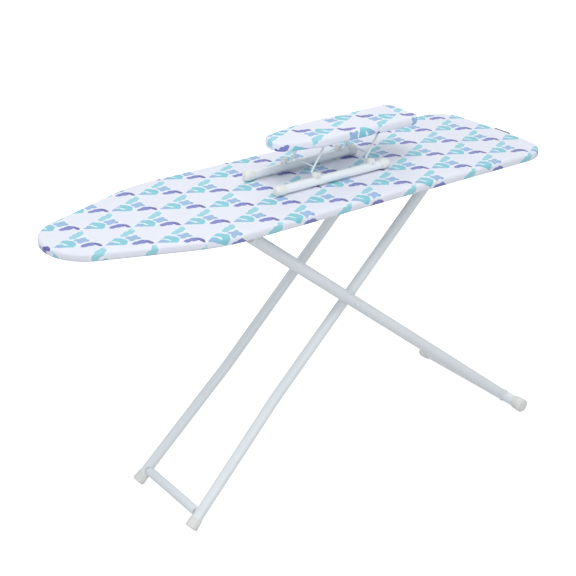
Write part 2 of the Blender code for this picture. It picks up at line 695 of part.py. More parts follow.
def build_deck(body):
    corners = deck_corners()
    add("sleeve_cover", cover_shell(corners, DECK_BOTTOM, DECK_TOP, DECK_SKIN, DECK_HEM, 3),
        PRINT, body)
    add("sleeve_pad", slab(corners, 0.0085, PAN_TOP + GAP, DECK_TOP - DECK_SKIN - GAP), FELT, body)
    flange_low, top = DECK_BOTTOM + DECK_SKIN + 0.0006, PAN_TOP
    outer, skin = 0.0056, 0.0010
    pan = [(outer + 0.003, top), (outer, top - 0.002), (outer, flange_low),
           (outer + skin, flange_low), (outer + skin, top - 0.0024), (outer + 0.0034, top - skin)]
    add("sleeve_deck_pan", loft([level(corners, inset, z) for inset, z in pan]), PAINT, body)
    cord = level(corners, DECK_HEM + 0.0022, DECK_BOTTOM + 0.0016)
    add("sleeve_drawcord", tube(cord, 0.0012, sides=4, closed=True), CORD, body)
    for place, base_x in zip(("front", "rear"), LINK_BASE):
        build_clip("deck_clip_" + place, base_x + LINK_LEAN, body)


def build_clip(name, x, body):
    """A plastic clip under the deck that holds a link's top rod."""
    top = PAN_TOP - 0.0010 - GAP
    low = LINK_TOP_Z - 0.0050
    bm = block((x - 0.0075, SLEEVE_Y - 0.013, low), (x + 0.0075, SLEEVE_Y + 0.013, top), 0.0015)
    obj = add(name, bm, CAP_PLASTIC, body)
    hole = LINK_RADIUS + RUN
    cut(obj, rod((x, SLEEVE_Y - 0.03, LINK_TOP_Z), (x, SLEEVE_Y + 0.03, LINK_TOP_Z), hole, 12))


# ---------------------------------------------------------------- assembly
def main():
    u_body = joint_empty("u_leg_joint", at(HINGE, 0))
    t_body = joint_empty("t_leg_joint", at(PIVOT, 0), u_body)
    lever_body = joint_empty("lock_lever_joint", at(LEVER, 0))
    base_body = joint_empty("sleeve_base_joint", Vector((0, SLEEVE_Y, BOARD_TOP)))
    front_body = joint_empty("front_link_joint", Vector((LINK_BASE[0], SLEEVE_Y, LINK_BASE_Z)),
                             base_body)
    rear_body = joint_empty("rear_link_joint", Vector((LINK_BASE[1], SLEEVE_Y, LINK_BASE_Z)),
                            base_body)
    deck_home = Vector((LINK_BASE[0] + LINK_LEAN, SLEEVE_Y, LINK_TOP_Z))
    deck_body = joint_empty("sleeve_deck_joint", deck_home, front_body)

    build_board()
    build_hinge_brackets()
    rack("height_rack_near", RACK_Y[0])
    rack("height_rack_far", RACK_Y[1])
    build_lock_mount()
    build_lock(lever_body)
    build_u_leg(u_body)
    build_t_leg(t_body)
    build_sleeve_base(base_body)
    build_link("front_link", LINK_BASE[0], front_body)
    build_link("rear_link", LINK_BASE[1], rear_body)
    build_deck(deck_body)


main()
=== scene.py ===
"""Looks of the folding ironing board with its sleeve board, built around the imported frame.

Metres, +Z up. X runs from the rounded nose to the square tail, Y across. Places are written in
the CAD's layout coordinates, and new_object moves them into the frame's.
"""

import json
import math

import bmesh
import bpy
import numpy as np
from mathutils import Matrix, Vector, noise
from mathutils.geometry import delaunay_2d_cdt


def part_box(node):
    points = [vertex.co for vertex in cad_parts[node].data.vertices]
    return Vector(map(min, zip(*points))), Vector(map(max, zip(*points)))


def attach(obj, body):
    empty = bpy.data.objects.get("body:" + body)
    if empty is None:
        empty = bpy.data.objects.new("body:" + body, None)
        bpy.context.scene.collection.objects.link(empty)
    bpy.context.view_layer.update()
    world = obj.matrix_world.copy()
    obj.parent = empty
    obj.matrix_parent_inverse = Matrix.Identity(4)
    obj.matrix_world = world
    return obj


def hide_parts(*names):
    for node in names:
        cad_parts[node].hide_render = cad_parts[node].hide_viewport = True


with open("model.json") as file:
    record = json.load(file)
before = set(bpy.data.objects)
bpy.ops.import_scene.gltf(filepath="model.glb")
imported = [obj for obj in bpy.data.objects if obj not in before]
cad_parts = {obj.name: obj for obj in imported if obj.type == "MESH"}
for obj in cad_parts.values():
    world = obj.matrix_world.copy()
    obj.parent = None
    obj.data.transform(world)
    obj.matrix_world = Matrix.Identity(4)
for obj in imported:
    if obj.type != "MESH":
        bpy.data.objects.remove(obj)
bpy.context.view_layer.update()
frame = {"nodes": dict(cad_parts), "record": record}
scene = bpy.context.scene

# ---- sizes shared with the CAD
FRAME_ORIGIN = Vector((-0.0039, -0.0026, 0.0))      # the frame's origin in layout coordinates
NOSE_X, TAIL_X, TAIL_CORNER_X = -0.6297, 0.6233, 0.6076
HALF_WIDTH, BOARD_Y, BEND_X, NOSE_HALF = 0.1898, -0.0104, -0.3264, 0.0734
NOSE_FILLET, BEND_FILLET, TAIL_FILLET, TAIL_BOW = 0.1034, 0.3272, 0.0686, 1.5
BOARD_BOTTOM, BOARD_TOP = 0.706, 0.728
HEM_WIDTH = 0.042
HINGE = Vector((0.3113, 0.676))
U_FOOT = Vector((-0.3772, 0.0074))
T_FOOT = Vector((0.6039, 0.017))
CATCH = Vector((-0.2027, 0.672))
U_RADIUS, U_Y, U_FOOT_Y, FLARE_Z = 0.0125, 0.098, 0.116, 0.235
U_CAP_LENGTH, U_BAR_RADIUS, U_BAR_UP = 0.0245, 0.011, 0.034
T_RADIUS, T_Y, T_BAR_HALF, T_CAP_REACH = 0.014, -0.127, 0.187, 0.195
WALL, GAP, PIN_HOLE, CATCH_HOLE = 0.0012, 0.0003, 0.0053, 0.0043
SLEEVE_Y, SLEEVE_OFFSET = -0.014, 0.058
SLEEVE_TUBE_RADIUS, SLEEVE_TUBE_X, SLEEVE_TUBE_Z = 0.010, (-0.0961, 0.1959), 0.7403
LINK_BASE, LINK_BASE_Z, LINK_TOP_Z, LINK_LEAN = (0.0029, 0.1579), 0.7545, 0.8075, 0.036
LINK_RADIUS, LINK_UPRIGHT, LINK_END = 0.0025, 0.039, 0.069
DECK_X, DECK_HALF, DECK_BOTTOM, DECK_TOP = (-0.0831, 0.3059), 0.059, 0.8115, 0.835
DECK_HEM, DECK_FILLET, TIP_HALF, TIP_FILLET = 0.018, 0.022, 0.031, 0.039
SHOULDER_X, SHOULDER_FILLET = DECK_X[0] + 0.105, 0.120     # where the taper starts
SIDES, PLACES = (("near", -1), ("far", 1)), ("front", "rear")

# the print's lattice: a motif fills the triangle between a vertex, +A and +A+B
PRINT_A, PRINT_B = (0.0887, -0.0501), (0.0050, 0.1002)
PRINT_ORIGIN, SLEEVE_PRINT_ORIGIN = (-0.4396, -0.0356), (0.083, -0.034)


def cross_point(a, b, c, d):
    r, s = b - a, d - c
    return a + r * ((c - a).cross(s) / r.cross(s))


PIVOT = cross_point(U_FOOT, HINGE, T_FOOT, CATCH)
U_DIR = (HINGE - U_FOOT).normalized()
T_DIR = (CATCH - T_FOOT).normalized()
MATERIALS = {}      # by slot, and a few by their own names; main fills it


def at(xz, y):
    return Vector((xz[0], y, xz[1]))


# ---- camera, floor and light
CAMERA_PLACE, CAMERA_LENS, SENSOR_WIDTH = Vector((-1.6159, -2.1477, 1.7215)), 79.65, 36.0
CAMERA_LOOK, CAMERA_UP = Vector((0.53938, 0.72601, -0.42658)), Vector((0.2527, 0.3437, 0.9044))
FLOOR_SIZE, FLOOR_Z, FLOOR_GLOW = 14.0, -0.0004, 0.60
WORLD_COLOUR = (0.96, 0.98, 1.0, 1.0)
# the world's strength over the height of the direction looked in, -1 down to 1 up
WORLD_RAMP = (("From Min", -0.6), ("From Max", 0.4), ("To Min", 0.60), ("To Max", 0.64))
LAMP_AIM = Vector((0.0, 0.0, 0.5))
# name, place, diameter, watts, colour
LAMPS = (("key", (-0.6, -1.0, 3.4), 2.2, 34.0, (1.0, 0.99, 0.97)),
         ("fill", (-2.8, 0.6, 1.8), 1.8, 8.0, (0.95, 0.98, 1.0)),
         ("front", (-1.1, -3.2, 1.1), 1.6, 16.0, (0.97, 0.985, 1.0)),
         ("back", (1.8, 1.8, 2.6), 1.8, 12.0, (1.0, 1.0, 1.0)))


def link(name, data):
    obj = bpy.data.objects.new(name, data)
    scene.collection.objects.link(obj)
    return obj


def make_stage():
    camera = link("camera", bpy.data.cameras.new("camera"))
    camera.data.lens, camera.data.sensor_width = CAMERA_LENS, SENSOR_WIDTH
    camera.location = CAMERA_PLACE - FRAME_ORIGIN
    axes = Matrix((CAMERA_LOOK.cross(CAMERA_UP), CAMERA_UP, -CAMERA_LOOK))
    camera.rotation_euler = axes.transposed().to_euler()
    scene.camera = camera

    bm = bmesh.new()
    bmesh.ops.create_grid(bm, x_segments=2, y_segments=2, size=FLOOR_SIZE)
    floor = new_object("floor", bm, floor_material(), smooth=False)
    floor.location.z = FLOOR_Z
    floor.visible_diffuse = floor.visible_glossy = False

    world = bpy.data.worlds.new("studio")
    world.use_nodes = True
    nodes, links = world.node_tree.nodes, world.node_tree.links
    sky, where = nodes["Background"], nodes.new("ShaderNodeTexCoord")
    height, level = nodes.new("ShaderNodeSeparateXYZ"), nodes.new("ShaderNodeMapRange")
    sky.inputs["Color"].default_value = WORLD_COLOUR
    for socket, value in WORLD_RAMP:
        level.inputs[socket].default_value = value
    links.new(where.outputs["Generated"], height.inputs["Vector"])
    links.new(height.outputs["Z"], level.inputs["Value"])
    links.new(level.outputs["Result"], sky.inputs["Strength"])
    scene.world = world
    scene.view_settings.view_transform = 'Standard'

    for name, place, size, power, colour in LAMPS:
        lamp = link(name, bpy.data.lights.new(name, 'AREA'))
        lamp.data.shape = 'DISK'
        lamp.data.size, lamp.data.energy, lamp.data.color = size, power, colour
        lamp.location = place
        aim = LAMP_AIM - Vector(place)
        lamp.rotation_euler = aim.to_track_quat('-Z', 'Y').to_euler()


# ---- node maths
class Value:
    """A shader value that takes part in ordinary arithmetic, each step one Math node."""

    def __init__(self, socket):
        self.tree, self.socket = socket.id_data, socket

    def math(self, operation, *others):
        node = self.tree.nodes.new("ShaderNodeMath")
        node.operation = operation
        for i, item in enumerate((self, *others)):
            if isinstance(item, Value):
                self.tree.links.new(item.socket, node.inputs[i])
            else:
                node.inputs[i].default_value = item
        return Value(node.outputs[0])

    def __add__(self, other):
        return self.math('ADD', other)

    def __sub__(self, other):
        return self.math('SUBTRACT', other)

    def __mul__(self, other):
        return self.math('MULTIPLY', other)

    def __or__(self, other):
        """The union of two marks."""
        return self.math('MAXIMUM', other)

    def __rsub__(self, other):
        return (self * -1.0).math('ADD', other)

    def step(self, low, high):
        """0 below low, 1 above high, smooth between."""
        node = self.tree.nodes.new("ShaderNodeMapRange")
        node.interpolation_type = 'SMOOTHSTEP'
        node.inputs["From Min"].default_value = low
        node.inputs["From Max"].default_value = high
        self.tree.links.new(self.socket, node.inputs["Value"])
        return Value(node.outputs["Result"])


def sine(value, waves):
    return (value * waves).math('SINE')


class Surface:
    """A Principled material with helpers for its pattern nodes."""

    def __init__(self, name, colour, roughness, **settings):
        self.material = bpy.data.materials.new(name)
        self.material.use_nodes = True
        self.colour = (*colour, 1.0)
        self.material.diffuse_color = self.colour
        self.tree = self.material.node_tree
        self.shader = self.tree.nodes["Principled BSDF"]
        self.shader.inputs["Roughness"].default_value = roughness
        for socket, value in settings.items():
            self.shader.inputs[socket.replace("_", " ")].default_value = value

    def node(self, kind, **inputs):
        made = self.tree.nodes.new(kind)
        for name, source in inputs.items():
            self.feed(made.inputs[name], source)
        return made

    def feed(self, socket, source):
        if isinstance(source, Value):
            source = source.socket
        if isinstance(source, bpy.types.NodeSocket):
            self.tree.links.new(source, socket)
        else:
            socket.default_value = source

    def place(self):
        return self.tree.nodes.new("ShaderNodeTexCoord").outputs["Object"]

    def split(self, vector):
        made = self.node("ShaderNodeSeparateXYZ", Vector=vector)
        return [Value(made.outputs[i]) for i in range(3)]

    def noise_node(self, scale, detail=3.0, roughness=0.55, where=None):
        return self.node("ShaderNodeTexNoise", Vector=where or self.place(), Scale=scale,
                         Detail=detail, Roughness=roughness)

    def noise(self, *args, **kwargs):
        return Value(self.noise_node(*args, **kwargs).outputs["Fac"])

    def tint(self, mask, colour):
        """Lay a colour over what is there, by a mask from 0 to 1."""
        mix = self.tree.nodes.new("ShaderNodeMix")
        mix.data_type = 'RGBA'
        self.feed(mix.inputs["Factor"], mask)
        self.feed(mix.inputs["A"], self.colour)
        self.feed(mix.inputs["B"], (*colour, 1.0))
        self.colour = mix.outputs["Result"]

    def rough(self, value):
        self.feed(self.shader.inputs["Roughness"], value)

    def bump(self, height, distance, strength):
        """Add relief on top of any that is there."""
        linked = self.shader.inputs["Normal"].links
        below = (linked[0].from_socket if linked
                 else self.tree.nodes.new("ShaderNodeNewGeometry").outputs["Normal"])
        made = self.node("ShaderNodeBump", Height=height, Distance=distance, Strength=strength,
                         Normal=below)
        self.feed(self.shader.inputs["Normal"], made.outputs["Normal"])

    def done(self):
        self.feed(self.shader.inputs["Base Color"], self.colour)
        return self.material


# ---- materials
def floor_material():
    s = Surface("studio_floor", (0.93, 0.935, 0.94), 0.9, Emission_Strength=FLOOR_GLOW)
    s.shader.inputs["Emission Color"].default_value = (1.0, 1.0, 1.0, 1.0)
    return s.done()


def powder_coat():
    """Satin powder coat: orange peel, faint tone drift, scuffs near the floor."""
    s = Surface("powder_coat", (0.82, 0.86, 0.89), 0.32, Coat_Weight=0.25, Coat_Roughness=0.18)
    s.tint(s.noise(7.0, 3.0).step(0.35, 0.75) * 0.35, (0.7708, 0.8213, 0.8633))
    s.tint(s.noise(260.0, 2.0).step(0.62, 0.76) * 0.10, (0.62, 0.65, 0.68))
    low = s.split(s.place())[2].step(0.075, 0.012)
    scuff = s.noise(95.0, 4.0, 0.7).step(0.54, 0.68)
    s.tint(low * scuff * 0.35, (0.42, 0.43, 0.44))
    s.rough(s.noise(34.0, 4.0) * 0.16 + 0.24)
    s.bump(s.noise(620.0, 2.0), 0.0004, 0.16)
    return s.done()


def moulded_plastic(name, colour, roughness):
    s = Surface(name, colour, roughness, Subsurface_Weight=0.04, Specular_IOR_Level=0.45)
    s.shader.inputs["Subsurface Radius"].default_value = (0.004, 0.004, 0.003)
    s.tint(s.noise(45.0, 4.0).step(0.45, 0.75) * 0.30, tuple(c * 0.92 for c in colour))
    low = s.split(s.place())[2].step(0.016, 0.002)
    s.tint(low * s.noise(130.0, 4.0).step(0.40, 0.62) * 0.45, (0.40, 0.39, 0.37))
    s.rough(s.noise(210.0, 3.0) * 0.20 + (roughness - 0.08))
    s.bump(s.noise(1900.0, 2.0), 0.00012, 0.22)
    return s.done()


def zinc_steel():
    s = Surface("zinc_steel", (0.60, 0.61, 0.63), 0.34, Metallic=0.92)
    s.tint(s.noise(180.0, 4.0).step(0.40, 0.72) * 0.45, (0.44, 0.45, 0.48))
    s.rough(s.noise(420.0, 3.0) * 0.22 + 0.24)
    s.bump(s.noise(1500.0, 2.0), 0.0001, 0.25)
    return s.done()


def felt():
    """Needled felt: matted short fibres, with painted shade: a little grey in the recesses of their
    relief.
    """
    s = Surface("pad_felt", (0.84, 0.84, 0.81), 0.97, Sheen_Weight=0.45, Sheen_Roughness=0.7)
    fibre = s.noise(900.0, 5.0, 0.75)
    # painted shade: the noise that raises the felt's relief also greys it
    s.tint(fibre.step(0.38, 0.66), (0.74, 0.74, 0.71))
    s.tint(s.noise(60.0, 3.0).step(0.5, 0.75) * 0.3, (0.90, 0.90, 0.88))
    s.bump(fibre, 0.0008, 0.6)
    return s.done()


def woven(name, colour, roughness, sheen, ripple, low, high, share, recess_shade_and_yarn_tint, depth, strength):
    """Yarn or weave: ripple makes the pattern out of the place's x, y and z. The tint over the
    pattern is painted shade in the recesses for the cord and the thread, and a lighter yarn for the
    label.
    """
    s = Surface(name, colour, roughness, Sheen_Weight=sheen)
    pattern = ripple(*s.split(s.place()))
    # painted shade on the cord and the thread: their recesses are greyed; on the label the tint is
    # a lighter yarn
    s.tint(pattern.step(low, high) * share, recess_shade_and_yarn_tint)
    s.bump(pattern, depth, strength)
    return s.done()


def braided_cord():
    # painted shade: the braid's recesses are greyed
    return woven("braided_cord", (0.83, 0.83, 0.80), 0.85, 0.25,
                 lambda x, y, z: sine(x + y, 2400.0) * sine(x - y, 2400.0),
                 0.0, 0.8, 0.35, (0.68, 0.68, 0.66), 0.0003, 0.5)


def woven_label():
    return woven("woven_label", (0.13, 0.105, 0.09), 0.8, 0.3,
                 lambda x, y, z: sine(y, 9000.0) * sine(z, 9000.0),
                 -0.2, 0.8, 0.5, (0.21, 0.17, 0.14), 0.0002, 0.5)


def sewing_thread():
    # painted shade: the twist's recesses are greyed
    return woven("sewing_thread", (0.88, 0.89, 0.93), 0.6, 0.2,
                 lambda x, y, z: sine(x, 14000.0), 0.0, 1.0, 0.3, (0.72, 0.73, 0.79), 0.0001, 0.4)


class Motif:
    """The print's local coordinates in one cell of the lattice, and simple shapes in them.

    The cell starts a little before its vertex, so that no mark crosses its edge.
    """
    WOBBLE = 0.0075                     # how far the brush strays
    ALONG_START, OVER_START = 0.02, 0.09

    def __init__(self, s, cloth, origin, turn):
        wobble = s.noise_node(95.0, 3.0, where=cloth)
        x, y, _ = s.split(cloth)
        wx, wy, _ = s.split(wobble.outputs["Color"])
        x = (x + (wx - 0.5) * self.WOBBLE - origin[0]) * turn
        y = (y + (wy - 0.5) * self.WOBBLE - origin[1]) * turn
        (ax, ay), (bx, by) = PRINT_A, PRINT_B
        det = ax * by - ay * bx
        along = (x * (by / det)) - (y * (bx / det)) + self.ALONG_START
        over = (y * (ax / det)) - (x * (ay / det)) + self.OVER_START
        along = along.math('FRACT') - self.ALONG_START
        over = over.math('FRACT') - self.OVER_START
        self.u = along * ax + over * bx
        self.v = along * ay + over * by

    def oval(self, cx, cy, rx, ry, degrees=0.0):
        """1 at the centre, 0 at the edge; half-widths rx and ry, turned by degrees."""
        c, s = math.cos(math.radians(degrees)), math.sin(math.radians(degrees))
        du, dv = self.u - cx, self.v - cy
        p = (du * (c / rx) + dv * (s / rx)).math('POWER', 2.0)
        q = (dv * (c / ry) - du * (s / ry)).math('POWER', 2.0)
        return 1.0 - (p + q)

    def fan(self, apex, reach, slope, curve):
        """A fan that opens from the apex along u, and ends in a round edge at reach."""
        v = self.v + self.u * 0.05
        half = (self.u - apex) * slope - v.math('ABSOLUTE')
        end = reach - self.u - v.math('POWER', 2.0) * curve
        return half.math('SMOOTH_MIN', end, 0.005)


def printed_cotton(name, origin, turn=1.0):
    """White plain-weave cotton with a repeating print of blue and turquoise brush marks."""
    s = Surface(name, (0.790, 0.812, 0.905), 0.82, Sheen_Weight=0.18, Sheen_Roughness=0.5)
    cloth = s.node("ShaderNodeAttribute")
    cloth.attribute_name = "cloth"
    cloth = cloth.outputs["Vector"]
    s.tint(s.noise(9.0, 3.0, where=cloth).step(0.35, 0.75) * 0.5, (0.815, 0.830, 0.915))
    m = Motif(s, cloth, origin, turn)
    grain = s.noise(420.0, 3.0, 0.6, where=cloth)
    ink = grain.step(0.25, 0.55) * 0.30 + 0.70

    fin = m.fan(0.0, 0.0490, 0.63, 30.0)
    hole = (m.oval(0.0262, 0.0010, 0.0112, 0.0030, -68)
            | m.oval(0.0200, 0.0078, 0.0040, 0.0018, 30))
    cloud = (m.oval(0.0575, 0.0225, 0.0110, 0.0080, 18)
             | m.oval(0.0695, 0.0275, 0.0120, 0.0098, 10) | m.oval(0.0802, 0.0335, 0.0072, 0.0096))
    stroke = m.oval(0.0868, 0.0415, 0.0110, 0.0034, 66)
    star = (m.oval(0.0645, -0.0012, 0.0172, 0.0082, 42)
            | m.oval(0.0645, -0.0012, 0.0172, 0.0082, -42))
    spot = m.oval(0.0735, -0.0098, 0.0042, 0.0030, -30)
    wave = (m.oval(0.0565, -0.0280, 0.0102, 0.0074, 6)
            | m.oval(0.0690, -0.0285, 0.0122, 0.0098, -8))
    tail = m.oval(0.0806, -0.0375, 0.0052, 0.0136, 8)
    halo = (cloud | star | stroke).step(-1.3, 0.0) | fin.step(-0.006, 0.0)
    s.tint(halo * 0.55, (0.83, 0.915, 0.965))

    fade = m.u.step(0.010, 0.026)
    inside = fin.step(-0.0006, 0.0012) * ink
    s.tint(inside, (0.270, 0.425, 0.700))
    s.tint(inside * fade, (0.225, 0.600, 0.690))
    s.tint(hole.step(0.0, 0.45) * 0.92, (0.84, 0.92, 0.97))
    s.tint(cloud.step(0.0, 0.25) * ink * 0.95, (0.260, 0.625, 0.710))
    s.tint(stroke.step(0.0, 0.5) * ink * 0.75, (0.400, 0.690, 0.800))
    s.tint(star.step(0.0, 0.20) * ink * 0.95, (0.265, 0.450, 0.710))
    s.tint(spot.step(0.0, 0.5) * ink * 0.6, (0.220, 0.330, 0.620))
    s.tint(wave.step(0.0, 0.20) * ink, (0.165, 0.185, 0.530))
    s.tint(tail.step(0.0, 0.30) * ink, (0.110, 0.095, 0.375))

    x, y, _ = s.split(cloth)
    weave = sine(x, 7850.0) * sine(y, 7850.0)
    s.tint(weave.step(-0.6, 1.0) * 0.06, (0.60, 0.62, 0.72))
    s.rough(grain * 0.14 + 0.74)
    s.bump(weave, 0.00012, 0.22)
    s.bump(s.noise(38.0, 3.0, where=cloth), 0.0009, 0.16)
    return s.done()


# ---- mesh helpers
SHARP = math.radians(38.0)


def around(sides):
    """Angles evenly round a full turn."""
    return [2 * math.pi * k / sides for k in range(sides)]


def shade(mesh):
    mesh.shade_smooth()
    mesh.set_sharp_from_angle(angle=SHARP)


def new_object(name, bm, material, smooth=True):
    """An object from a mesh in layout coordinates."""
    bmesh.ops.recalc_face_normals(bm, faces=bm.faces)
    bmesh.ops.translate(bm, verts=bm.verts, vec=-FRAME_ORIGIN)
    mesh = bpy.data.meshes.new(name)
    bm.to_mesh(mesh)
    bm.free()
    if smooth:
        shade(mesh)
    mesh.materials.append(material)
    return link(name, mesh)


def piece(name, bm, body, slot, *replaces, smooth=True):
    """A new object with its slot's finish, riding on a body in place of CAD nodes."""
    return place_piece(new_object(name, bm, MATERIALS[slot], smooth), body, slot, *replaces)


def place_piece(obj, body, slot, *replaces):
    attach(obj, body)
    if replaces:
        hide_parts(*replaces)
    return obj


def bridge(bm, rings):
    """Faces between each ring of vertices and the next."""
    for a, b in zip(rings, rings[1:]):
        for i in range(len(a)):
            j = (i + 1) % len(a)
            bm.faces.new((a[i], b[i], b[j], a[j]))


def loft(rings, closed=False, bm=None):
    """Skin rings of points; the end rings are filled unless it closes on itself."""
    bm = bm or bmesh.new()
    made = [[bm.verts.new(p) for p in ring] for ring in rings]
    bridge(bm, made + made[:1] if closed else made)
    if not closed:
        bm.faces.new(made[0][::-1])
        bm.faces.new(made[-1])
    return bm


def sweep(points, radius, sides, closed=False):
    """Rings round a path; radius may be one number or a function of the point's index."""
    points = [Vector(p) for p in points]
    total = len(points)
    rings, normal = [], None
    for i, point in enumerate(points):
        before = points[i - 1] if (closed or i) else point
        after = points[(i + 1) % total] if (closed or i < total - 1) else point
        tangent = (after - before).normalized()
        if normal is None:
            side = Vector((0, 0, 1)) if abs(tangent.z) < 0.9 else Vector((1, 0, 0))
            normal = tangent.cross(side)
        normal = (normal - tangent * normal.dot(tangent)).normalized()
        across = tangent.cross(normal)
        r = radius(i) if callable(radius) else radius
        rings.append([point + (normal * math.cos(a) + across * math.sin(a)) * r
                      for a in around(sides)])
    return rings


def tube(points, radius, sides=48):
    """An open-ended tube with its end edges eased."""
    ease = 0.0003
    points = [Vector(p) for p in points]
    first = (points[1] - points[0]).normalized() * ease
    last = (points[-1] - points[-2]).normalized() * ease
    outer = sweep([points[0] + first, *points[1:-1], points[-1] - last], radius, sides)
    ends = []
    for i in (0, -1):
        middle = sum(outer[i], Vector()) / sides
        ends.append([points[i] + (p - middle) * (1 - ease / radius) for p in outer[i]])
    inner = sweep(points, radius - WALL, sides)
    return loft([ends[0], *outer, ends[1], *inner[::-1]], closed=True)


def turned(profile, start, direction, sides=48, closed=True):
    """Turn a profile of (distance along, radius) about an axis."""
    direction = Vector(direction).normalized()
    side = Vector((0, 0, 1)) if abs(direction.z) < 0.9 else Vector((1, 0, 0))
    u = direction.cross(side).normalized()
    v = direction.cross(u).normalized()
    return loft([[Vector(start) + direction * along + (u * math.cos(a) + v * math.sin(a)) * r
                  for a in around(sides)] for along, r in profile], closed)


def smooth_corners(points, radius, steps=8):
    """Replace each inner corner of a path by a curve."""
    points = [Vector(p) for p in points]
    path = [points[0]]
    for before, corner, after in zip(points, points[1:], points[2:]):
        a, b = (before - corner).normalized(), (after - corner).normalized()
        for i in range(steps + 1):
            t = i / steps
            path.append(corner + a * radius * (1 - t) ** 2 + b * radius * t ** 2)
    path.append(points[-1])
    return path


def drill(obj, *holes):
    """Cut round holes, each (start, end, radius), for good."""
    for start, end, radius in holes:
        axis = Vector(end) - Vector(start)
        bm = turned([(0, radius), (axis.length, radius)], start, axis, 40, closed=False)
        cutter = new_object("cutter", bm, obj.data.materials[0])
        boolean = obj.modifiers.new("cut", 'BOOLEAN')
        boolean.operation, boolean.solver, boolean.object = 'DIFFERENCE', 'EXACT', cutter
        apply_modifiers(obj)
        bpy.data.objects.remove(cutter)
    shade(obj.data)


def apply_modifiers(obj):
    depsgraph = bpy.context.evaluated_depsgraph_get()
    mesh = bpy.data.meshes.new_from_object(obj.evaluated_get(depsgraph))
    obj.modifiers.clear()
    obj.data = mesh


def rounded_block(low, high, bevel, segments=4):
    low, high = Vector(low), Vector(high)
    bm = bmesh.new()
    bmesh.ops.create_cube(bm, size=1.0)
    bmesh.ops.scale(bm, verts=bm.verts, vec=high - low)
    bmesh.ops.translate(bm, verts=bm.verts, vec=(low + high) / 2)
    bmesh.ops.bevel(bm, geom=bm.edges, offset=bevel, segments=segments, affect='EDGES',
                    profile=0.5)
    return bm


# ---- outlines of the two boards
def mirrored(middle, half, bow=()):
    """A board's corners from those of one half, tail to nose: (x, half-width, fillet)."""
    near, far = [[((x, middle + sign * width), fillet) for x, width, fillet in half]
                 for _, sign in SIDES]
    return [*near[:1], *bow, *far, *near[:0:-1]]


BOARD_CORNERS = mirrored(BOARD_Y, (
    (TAIL_CORNER_X, HALF_WIDTH, TAIL_FILLET), (BEND_X, HALF_WIDTH, BEND_FILLET),
    (NOSE_X, NOSE_HALF, NOSE_FILLET)), [((TAIL_X, BOARD_Y), TAIL_BOW)])
DECK_CORNERS = mirrored(SLEEVE_Y, (
    (DECK_X[1], DECK_HALF, DECK_FILLET), (SHOULDER_X, DECK_HALF, SHOULDER_FILLET),
    (DECK_X[0], TIP_HALF, TIP_FILLET)))


def arcs_of(corners, inset, spacing):
    """One arc of points per corner, with as many points whatever the inset."""
    points = [Vector(c[0]) for c in corners]
    arcs = []
    for i, (_, radius) in enumerate(corners):
        here = points[i]
        back = (here - points[i - 1]).normalized()
        forth = (points[(i + 1) % len(points)] - here).normalized()
        turn = abs(back.angle_signed(forth))
        steps = max(2, round(radius * turn / spacing))
        inward_back = Vector((-back.y, back.x))
        inward_forth = Vector((-forth.y, forth.x))
        bisector = (inward_back + inward_forth).normalized()
        r = max(radius - inset, 0.002)
        centre = here + bisector * ((inset + r) / math.cos(turn / 2))
        start = math.atan2(-inward_back.y, -inward_back.x)
        arcs.append([centre + Vector((math.cos(start + turn * k / steps),
                                      math.sin(start + turn * k / steps))) * r
                     for k in range(steps + 1)])
    return arcs


def outline(corners, inset, spacing):
    """The closed outline at an inset, evenly stepped along its straights too."""
    arcs = arcs_of(corners, inset, spacing)
    plain = arcs_of(corners, 0.0, spacing)
    points = []
    for i, arc in enumerate(arcs):
        points += arc
        following = (i + 1) % len(arcs)
        gap = (plain[following][0] - plain[i][-1]).length
        steps = max(1, round(gap / spacing))
        start, end = arc[-1], arcs[following][0]
        points += [start.lerp(end, k / steps) for k in range(1, steps)]
    return points


def inside(points, ring):
    """Which of the points lie in a closed outline."""
    x, y = points[:, 0], points[:, 1]
    ring = np.array(ring, float)
    hit = np.zeros(len(points), bool)
    for (x0, y0), (x1, y1) in zip(ring, np.roll(ring, -1, 0)):
        if y0 != y1:
            crosses = (y0 > y) != (y1 > y)
            hit ^= crosses & (x < (x1 - x0) * (y - y0) / (y1 - y0) + x0)
    return hit


def hex_points(ring, spacing, clear):
    """An even scatter of points in an outline, none nearer to it than clear."""
    edge = np.array(ring, float)
    low, high = edge.min(0), edge.max(0)
    rows = np.arange(low[1], high[1], spacing * 0.866)      # even triangles
    points = np.array([(x + (spacing / 2 if i % 2 else 0.0), y) for i, y in enumerate(rows)
                       for x in np.arange(low[0], high[0], spacing)])
    points = points[inside(points, ring)]
    gaps = np.array([np.hypot(*(edge - p).T).min() for p in points])
    return points[gaps > clear]


def fill_ring(bm, ring_verts, spacing, z):
    """Fill a ring of vertices with an even triangle mesh."""
    ring = [(v.co.x, v.co.y) for v in ring_verts]
    inner = hex_points(ring, spacing, spacing * 0.62)
    count = len(ring)
    edges = [(i, (i + 1) % count) for i in range(count)]
    flat = [Vector(p) for p in (*ring, *inner)]
    points, _, faces, origins, _, _ = delaunay_2d_cdt(flat, edges, [], 1, 1e-7)
    verts = [ring_verts[origin[0]] if origin and origin[0] < count
             else bm.verts.new((point.x, point.y, z)) for point, origin in zip(points, origins)]
    for face in faces:
        bm.faces.new([verts[i] for i in face])


# ---- fabric covers
CLOTH_SETTINGS = {"quality": 5, "mass": 0.2, "tension_stiffness": 20.0,
                  "compression_stiffness": 12.0, "bending_stiffness": 0.4,
                  "use_pressure": True, "uniform_pressure_force": 3.0}
SIM_FRAMES = 20


